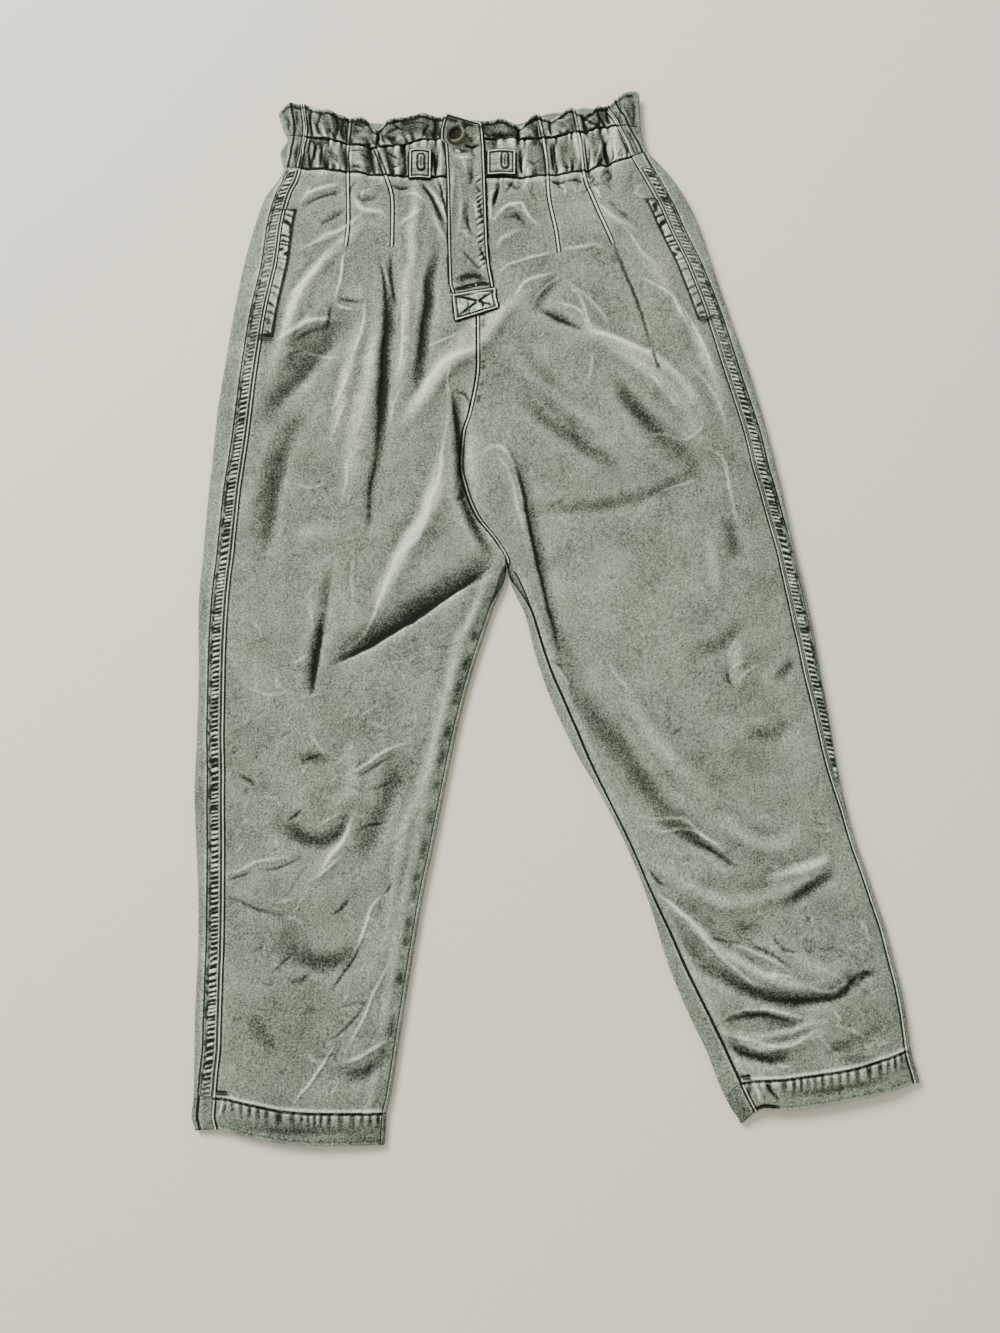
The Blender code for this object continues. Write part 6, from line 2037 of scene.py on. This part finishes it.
def sewn(name, lines, slot, tree, thread, pitch, length, thickness, across=False):
    """Stitches along some lines of points in millimetres, as a plain mesh."""
    points, edges = [], []
    for line in lines:
        start = len(points)
        points += [tuple(p * MM for p in point) for point in line]
        edges += [(k, k + 1) for k in range(start, len(points) - 1)]
    guide_mesh = bpy.data.meshes.new(name + "_guide")
    guide_mesh.from_pydata(points, edges, [])
    guide = linked(name + "_guide", guide_mesh)
    modifier = guide.modifiers.new("stitches", "NODES")
    modifier.node_group = tree
    values = {"Pitch": pitch * MM, "Stitch Length": length * MM,
              "Thread Thickness": thickness * MM, "Across The Line": across,
              "Seed": 7, "Thread": thread}
    for item in tree.interface.items_tree:
        if item.in_out == "INPUT" and item.name in values:
            modifier[item.identifier] = values[item.name]
    depsgraph = bpy.context.evaluated_depsgraph_get()
    mesh = bpy.data.meshes.new_from_object(guide.evaluated_get(depsgraph))
    bpy.data.objects.remove(guide, do_unlink=True)
    mesh.name = name
    piece = linked(name, mesh)
    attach(piece, "root")


def grid_line(name, way, index, skip=0):
    """A row or column of a piece's grid as a line just above its cloth."""
    grid = GRIDS[name]
    k = (index, slice(None)) if way == "row" else (slice(None), index)
    points = np.stack([grid.x[k], grid.y[k], grid.z[k] + STITCH_LIFT], axis=1)
    return points[skip:len(points) - skip]


def plan_line(plan, lift, step):
    """A line over the fronts from plan points."""
    line = smooth_line(plan, step)
    z = cloth_below(line[:, 0], line[:, 1], 0.8)
    return np.column_stack([line, z + lift])


# The add-on

def size_of(name, description, default, low, high):
    """A length, given in millimetres."""
    return bpy.props.FloatProperty(name=name, description=description, unit="LENGTH",
                                   default=default * MM, min=low * MM, max=high * MM)


def share_of(name, description, default, high=1.0):
    return bpy.props.FloatProperty(name=name, description=description, subtype="FACTOR",
                                   default=default, min=0.0, max=high)


def plain_number(name, description, default, low, high, **more):
    return bpy.props.FloatProperty(name=name, description=description,
                                   default=default, min=low, max=high, **more)


def colour_of(name, description, *default, high=1.0):
    return bpy.props.FloatVectorProperty(name=name, description=description, size=3,
                                         default=default, min=0.0, max=high,
                                         subtype="COLOR")


class TrousersSettings(bpy.types.PropertyGroup):
    """Sizes and colours that a user would change."""

    cloth_wall: size_of("Cloth wall", "Thickness of the twill", 1.2, 0.6, 2.0)
    weave_pitch: plain_number(
        "Weave pitch", "Distance between twill lines in millimetres", 0.75, 0.3, 3.0)
    stitch_pitch: size_of("Stitch pitch", "Distance from stitch to stitch", 3.0, 1.5, 8.0)
    thread_thickness: size_of(
        "Thread thickness", "Thickness of the sewing thread", 0.6, 0.2, 1.5)
    # Scales the painted shade and highlight of folds and seams, with their fading.
    tone_amount: share_of("Wear", "How much folds and seams are paler or darker", 0.50)
    cloud_amount: share_of("Clouding", "Broad uneven fading", 0.42)
    mottle_amount: share_of("Mottling", "Uneven fading of a few millimetres", 0.20)
    # The crinkles' colour is painted shade and highlight that follows their relief.
    crinkle_amount: share_of("Crinkle fading", "Fading along the small crinkles", 0.16)
    crinkle_depth: plain_number(
        "Crinkle depth", "Depth of the small crinkles, in weaves", 7.0, 0.0, 20.0)
    speckle_amount: share_of("Speckle", "Grain of the washed threads", 1.5, 2.0)
    slub_amount: share_of("Slub", "Short streaks along the warp", 0.20)
    bump_strength: share_of("Weave strength", "Strength of the weave's relief", 0.55)
    bump_depth: plain_number(
        "Weave depth", "Depth of the weave in millimetres", 0.35, 0.0, 1.0)
    # The two darkest colours are painted shade in grooves, slits and hollows; the two palest
    # are painted highlight on ridges and seam edges, with some fading by rubbing.
    black_green: colour_of("Stitched lines", "Darkest green, in sewn grooves",
                           0.007, 0.011, 0.006)
    dark_green: colour_of("Hollows", "Green of the hollows", 0.072, 0.090, 0.065)
    sage: colour_of("Sage", "Main colour of the washed twill", 0.200, 0.233, 0.176)
    worn_sage: colour_of("Worn sage", "Colour of worn ridges", 0.350, 0.395, 0.306)
    bleached: colour_of("Bleached edges", "Palest edges of the seams", 0.70, 0.75, 0.62)
    cool_tint: colour_of("Cool tint", "Tint of the cooler patches",
                         0.985, 1.0, 1.0, high=2.0)
    warm_tint: colour_of("Warm tint", "Tint of the warmer patches",
                         1.01, 1.005, 0.98, high=2.0)
    thread_colour: colour_of("Thread", "Colour of the sewing thread", 0.050, 0.066, 0.042)
    horn_rim: colour_of("Horn rim", "Pale rim of the button", 0.140, 0.137, 0.080)
    horn_centre: colour_of("Horn centre", "Dark middle of the button", 0.009, 0.008, 0.004)
    floor_colour: colour_of("Floor", "Plain pale floor", 0.85, 0.815, 0.64)
    key_power: plain_number("Key light", "Power of the soft light from the upper left",
                            300.0, 0.0, 5000.0, unit="POWER")
    room_light: plain_number(
        "Room light", "Strength of the even light all round", 0.66, 0.0, 5.0)


def settings_of(context):
    return context.scene.trousers_settings


def sew_in(piece, node):
    """A piece of cloth takes its node's place."""
    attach(piece, "root")
    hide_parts(node)
    return piece


def cloth(context):
    """The twill material, made once."""
    return (bpy.data.materials.get("washed_twill")
            or twill_finish("washed_twill", settings_of(context)))


GRIDS = {}              # the grids that stitches follow


# Grids of the bands: rows and columns of a front, how far its heights are blurred for the
# painted shade of hollows and paler ridges, how many of its steps one step of its underside
# takes, and rows of its back.
LEG_GRID = (620, 144, 5, 4, 430)
HEM_GRID = (32, 200, 4, 2, 12)
CASING_GRID = (40, 190, 3, 2, 26)
FRILL_GRID = (36, 190, 3, 2, 26)


def lay_pair(context, half, kind, names, row_y, details, sizes, **how):
    """A front and the back that it lies on, of one band of one half."""
    wall = settings_of(context).cloth_wall / MM
    face, behind = kind + "front", kind + "back"
    rows, columns, blur, stride, back_rows = sizes
    grid = front_grid(half, rows, columns, row_y, details[0], blur)
    GRIDS[f"{face}_{half.name}"] = grid
    top = laid_shell(names.format("front", half.name), grid, wall, stride, cloth(context))
    back = back_grid(half, back_rows, row_y, details[1], **how)
    under = wrapped_shell(names.format("back", half.name), back, wall, cloth(context))
    sew_in(under, f"{behind}_{half.name}")
    sew_in(top, f"{face}_{half.name}")


class TROUSERS_OT_lay_legs(bpy.types.Operator):
    """Lay the fronts and backs of both legs"""

    bl_idname = "trousers.lay_legs"
    bl_label = "Lay legs"

    def execute(self, context):
        for half in HALVES:
            lay_pair(context, half, "", "twill_{}_{}", half.panel_y,
                     (front_detail, plain_back), LEG_GRID)
        return {"FINISHED"}


class TROUSERS_OT_make_hems(bpy.types.Operator):
    """Make the gathered hem bands of both legs"""

    bl_idname = "trousers.make_hems"
    bl_label = "Make hems"

    def execute(self, context):
        for half in HALVES:
            lay_pair(context, half, "hem_", "hem_{}_band_{}", half.hem_y,
                     (hem_detail, plain_back), HEM_GRID, shade=HEM_BACK_SHADE)
        return {"FINISHED"}


class TROUSERS_OT_gather_waist(bpy.types.Operator):
    """Gather the casing and the frill above it"""

    bl_idname = "trousers.gather_waist"
    bl_label = "Gather waist"

    def execute(self, context):
        for half in HALVES:
            lay_pair(context, half, "casing_", "casing_{}_band_{}", half.casing_y,
                     (casing_detail, waist_back), CASING_GRID)
            lay_pair(context, half, "frill_", "frill_{}_band_{}", half.frill_y,
                     (frill_detail, frill_back), FRILL_GRID, free_rise=1.0)
        return {"FINISHED"}


class TROUSERS_OT_fell_outseams(bpy.types.Operator):
    """Lay the felled outseam strips and the pocket edges"""

    bl_idname = "trousers.fell_outseams"
    bl_label = "Fell outseams"

    def execute(self, context):
        strips = ((LEFT, LEFT_STRIP_Y, 1000, LEFT_POCKET_Y, 150),
                  (RIGHT, RIGHT_STRIP_Y, 700, RIGHT_POCKET_Y, 140))
        for half, strip_y, strip_rows, pocket_y, pocket_rows in strips:
            for kind, node, name, grid, below in (
                    ("strip_", "outseam_strip_", "felled_strip_",
                     strip_grid(half, strip_y, strip_rows, 14), "twill_back_"),
                    ("pocket_", "pocket_edge_", "pocket_welt_",
                     pocket_grid(half, pocket_y, pocket_rows, 16), "twill_front_")):
                side = half.name
                GRIDS[kind + side] = grid
                piece = laid_shell(name + side, grid, TRIM, 2, cloth(context))
                sew_in(piece, node + side)
        return {"FINISHED"}


FADED_LIFT = 0.01       # the fly and the small pieces are a little paler


class TROUSERS_OT_sew_fly(bpy.types.Operator):
    """Sew the fly placket, the patch at its foot and the two buttonhole tabs"""

    bl_idname = "trousers.sew_fly"
    bl_label = "Sew fly"

    def execute(self, context):
        faded = twill_finish("pale_washed_twill", settings_of(context), FADED_LIFT)
        under = ["twill_front_left", "twill_front_right"]
        waist = ["casing_front_band_left", "casing_front_band_right"]
        pieces = (
            ("fly_strip", "fly_placket", fly_grid(160, 40), FLY_WALL, under + waist),
            ("fly_foot_patch", "fly_base_patch", patch_grid(48, 64), TRIM, under),
            ("tab_left", "buttonhole_tab_left",
             tab_grid(TAB_LEFT, TAB_LEFT_HOLE, 56, 36), TRIM, waist[:1]),
            ("tab_right", "buttonhole_tab_right",
             tab_grid(TAB_RIGHT, TAB_RIGHT_HOLE, 44, 44), TRIM, waist[1:]),
        )
        for name, node, grid, wall, rests_on in pieces:
            GRIDS[name] = grid
            piece = laid_shell(name, grid, wall, 2, faded)
            sew_in(piece, node)
        return {"FINISHED"}


# Painted shade: the button's rim is painted darker at its upper left.
RIM_SHADE_TURN = math.radians(35.0)         # the horn is darker at the upper left


def button_mesh(name):
    """A dished four-hole button, turned about its own axis and then tilted."""
    radius = BUTTON_DIAMETER / 2
    profile = ((0.0, 0.9), (1.2, 0.9), (2.4, 0.9), (3.4, 0.95), (4.4, 1.1), (5.4, 1.35),
               (6.3, 1.9), (7.0, 2.35), (7.8, 2.6), (8.6, 2.6), (9.3, 2.35), (9.8, 1.8),
               (10.0, 1.1), (9.8, 0.4), (9.2, 0.1), (8.0, 0.0), (4.0, 0.0), (0.0, 0.0))
    turns = 56
    holes = [(2.0 * math.cos(a), 2.0 * math.sin(a))
             for a in (math.radians(45 + 90 * k) for k in range(4))]
    form = bmesh.new()
    layer = form.verts.layers.float.new("tone")
    rings = []
    for r, z in profile:
        scale = radius / 10.0
        ring = []
        for k in range(1 if r == 0.0 else turns):
            angle = 2 * math.pi * k / turns
            x, y = r * scale * math.cos(angle), r * scale * math.sin(angle)
            sink = sum(1.0 for hx, hy in holes if math.hypot(x - hx, y - hy) < 0.95)
            vertex = form.verts.new((x, y, z - 0.7 * sink if z > 0.5 else z))
            # Painted shade on the rim's upper left and in the four holes.
            lit = smoothstep(-0.5, 0.6, math.cos(angle + RIM_SHADE_TURN))
            vertex[layer] = 0.15 + 0.6 * lit if r > 6.6 else 0.1 - 0.1 * sink
            ring.append(vertex)
        rings.append(ring)
    for low, high in zip(rings, rings[1:]):
        for k in range(turns):
            a, b = low[k % len(low)], low[(k + 1) % len(low)]
            c, d = high[(k + 1) % len(high)], high[k % len(high)]
            corners = list(dict.fromkeys((a, b, c, d)))
            form.faces.new(corners)
    bmesh.ops.recalc_face_normals(form, faces=form.faces)
    tilt = math.radians(-BUTTON_TILT)
    low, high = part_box("waist_button")
    middle_z = (low.z + high.z) / 2 / MM
    for vertex in form.verts:
        x, y, z = vertex.co
        z = (z - 1.3) * 1.25
        vertex.co = ((BUTTON_X + x * math.cos(tilt) + z * math.sin(tilt)) * MM,
                     (BUTTON_Y + y) * MM,
                     (middle_z - x * math.sin(tilt) + z * math.cos(tilt)) * MM)
    mesh = bpy.data.meshes.new(name)
    form.to_mesh(mesh)
    form.free()
    return mesh


class TROUSERS_OT_sew_button(bpy.types.Operator):
    """Sew the horn button on the fly"""

    bl_idname = "trousers.sew_button"
    bl_label = "Sew button"

    def execute(self, context):
        horn = horn_finish("two_tone_horn", settings_of(context))
        button = finished("horn_button", button_mesh("horn_button"), horn)
        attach(button, "root")
        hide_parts("waist_button")
        return {"FINISHED"}


# Rows of stitches: the piece's grid, a row or column of it, and how many of its
# ends stay bare.
SIDE_STITCHES = {
    "hem": (("hem_front_", "row", -2),),
    "waist": (("casing_front_", "row", 1), ("casing_front_", "row", -2),
              ("frill_front_", "row", -6)),
    "outseam": (("strip_", "column", 3, 2), ("strip_", "column", -3, 2)),
    "pocket": (("pocket_", "column", -2, 1),),
}
FLY_STITCHES = (("fly_strip", "column", 3, 2), ("fly_strip", "column", -4, 2),
                ("fly_strip", "row", -5, 1))
PATCH_STITCHES = (("fly_foot_patch", "row", 6, 5), ("fly_foot_patch", "row", -7, 5),
                  ("fly_foot_patch", "column", 5, 6), ("fly_foot_patch", "column", -6, 6))
STITCH_LIFT = 0.15      # of a stitch's middle above the cloth
STITCH_SHARE = 0.62     # of the pitch that a stitch fills
# Pitch, length and thickness of the other stitches
PATCH_STITCH = (2.4, 2.0)
TACK_STITCH = (0.62, 2.6, 0.8)
HOLE_STITCH = (0.7, 1.9, 0.6)
TACK_LIFT = 1.6
FADED_THREAD = 5.0      # how much paler the buttonholes' thread is


class TROUSERS_OT_run_stitching(bpy.types.Operator):
    """Run the rows of stitches, the bartacks and the buttonholes"""

    bl_idname = "trousers.run_stitching"
    bl_label = "Run stitching"

    def execute(self, context):
        settings = settings_of(context)
        dark = settings.thread_colour
        thread = thread_finish("dark_thread", dark)
        pale = thread_finish("faded_thread", tuple(FADED_THREAD * c for c in dark))
        tree = stitch_tree()
        pitch = settings.stitch_pitch / MM
        thick = settings.thread_thickness / MM
        groups = {}
        for half in HALVES:
            for seam, rows in SIDE_STITCHES.items():
                groups[f"{seam}_{half.name}"] = [
                    grid_line(grid + half.name, *place) for grid, *place in rows]
        groups["fly"] = [grid_line(*row) for row in FLY_STITCHES]
        for seam, lines in groups.items():
            sewn("stitches_" + seam, lines, "twill", tree, thread, pitch,
                 STITCH_SHARE * pitch, thick)
        ring = [grid_line(*row) for row in PATCH_STITCHES]
        sewn("stitches_patch", ring, "faded_twill", tree, thread, *PATCH_STITCH, thick)
        tacks = [plan_line(points, TACK_LIFT, 1.0) for points in BARTACKS]
        sewn("bartacks", tacks, "twill", tree, thread, *TACK_STITCH, True)
        rings = [buttonhole_ring(GRIDS[name], hole, upright) for name, hole, upright in (
            ("tab_left", TAB_LEFT_HOLE, True), ("tab_right", TAB_RIGHT_HOLE, True),
            ("fly_strip", FLY_HOLE, False))]
        sewn("buttonhole_stitches", rings, "faded_twill", tree, pale, *HOLE_STITCH, True)
        return {"FINISHED"}


BARTACKS = (
    ((-263, 362.5), (-240, 361)),
    ((-270, 226), (-256, 225.5)),
    ((103.5, 372), (115.5, 374)),
    ((155, 244), (168, 250)),
    ((-277, -458), (-267, -458)),
    ((167, -446), (173, -445.5)),
)


def buttonhole_ring(grid, hole, upright):
    """A closed line round a buttonhole, just above its piece."""
    x, y, z = grid.x, grid.y, grid.z
    angle = np.linspace(0.0, 2.0 * np.pi, 49)
    long_way, short_way = HOLE_HALF_LENGTH + 1.2, 1.3
    dx = (short_way if upright else long_way) * np.cos(angle)
    dy = (long_way if upright else short_way) * np.sin(angle)
    points = []
    for px, py in zip(hole[0] + dx, hole[1] + dy):
        k = np.argmin((x - px) ** 2 + (y - py) ** 2)
        points.append((px, py, z.ravel()[k] + STITCH_LIFT))
    return points


CAMERA_PLACE = (-0.0377, -0.2503, 0.90)
CAMERA_TILT = 10.0
CAMERA_LENS = 27.03
SENSOR = 36.0
FLOOR_REACH = 3.0
FLOOR_DROP = 0.0003     # so that the floor doesn't meet the cloth's underside
LAMP_PLACE = (-2.6, 2.4, 2.3)
LAMP_SIZE = (2.0, 1.6)
ROOM_COLOUR = (1.0, 0.995, 0.98, 1.0)


class TROUSERS_OT_set_stage(bpy.types.Operator):
    """Set the floor, the soft light and the camera"""

    bl_idname = "trousers.set_stage"
    bl_label = "Set stage"

    def execute(self, context):
        settings = settings_of(context)
        mesh = bpy.data.meshes.new("pale_floor")
        r = FLOOR_REACH
        mesh.from_pydata([(-r, -r, 0), (r, -r, 0), (r, r, 0), (-r, r, 0)], [],
                         [(0, 1, 2, 3)])
        floor = finished("pale_floor", mesh,
                         floor_finish("pale_floor", settings.floor_colour))
        floor.location.z = -FLOOR_DROP
        light = bpy.data.lights.new("window_light", "AREA")
        light.shape = "RECTANGLE"
        light.size, light.size_y = LAMP_SIZE
        light.energy = settings.key_power
        lamp = linked("window_light", light)
        lamp.location = LAMP_PLACE
        lamp.rotation_euler = direction_angles(-np.array(lamp.location))
        world = bpy.data.worlds.new("even_room")
        world.use_nodes = True
        background = world.node_tree.nodes["Background"]
        background.inputs["Color"].default_value = ROOM_COLOUR
        background.inputs["Strength"].default_value = settings.room_light
        context.scene.world = world
        view = bpy.data.cameras.new("overhead_view")
        view.sensor_width = SENSOR
        view.lens = CAMERA_LENS
        camera = linked("overhead_view", view)
        camera.location = CAMERA_PLACE
        camera.rotation_euler = (math.radians(CAMERA_TILT), 0.0, 0.0)
        context.scene.camera = camera
        return {"FINISHED"}


def direction_angles(way):
    """Turn that points a lamp's -Z along a way."""
    from_down = math.atan2(math.hypot(way[0], way[1]), -way[2])
    return from_down, 0.0, math.atan2(way[1], way[0]) - math.pi / 2


class TROUSERS_PT_panel(bpy.types.Panel):
    """Makes the trousers piece by piece"""

    bl_idname = "TROUSERS_PT_panel"
    bl_label = "Paperbag waist trousers"
    bl_space_type = "VIEW_3D"
    bl_region_type = "UI"
    bl_category = "Trousers"

    def draw(self, context):
        for name in TrousersSettings.__annotations__:
            self.layout.prop(settings_of(context), name)
        for operator in OPERATORS:
            self.layout.operator(operator.bl_idname)


OPERATORS = (
    TROUSERS_OT_set_stage,
    TROUSERS_OT_lay_legs,
    TROUSERS_OT_make_hems,
    TROUSERS_OT_gather_waist,
    TROUSERS_OT_fell_outseams,
    TROUSERS_OT_sew_fly,
    TROUSERS_OT_sew_button,
    TROUSERS_OT_run_stitching,
)
CLASSES = (TrousersSettings, *OPERATORS, TROUSERS_PT_panel)


def register():
    for cls in CLASSES:
        bpy.utils.register_class(cls)
    bpy.types.Scene.trousers_settings = bpy.props.PointerProperty(type=TrousersSettings)


def unregister():
    del bpy.types.Scene.trousers_settings
    for cls in reversed(CLASSES):
        bpy.utils.unregister_class(cls)


def main():
    register()
    for operator in OPERATORS:
        group, name = operator.bl_idname.split(".")
        getattr(getattr(bpy.ops, group), name)()


if __name__ == "__main__":
    main()
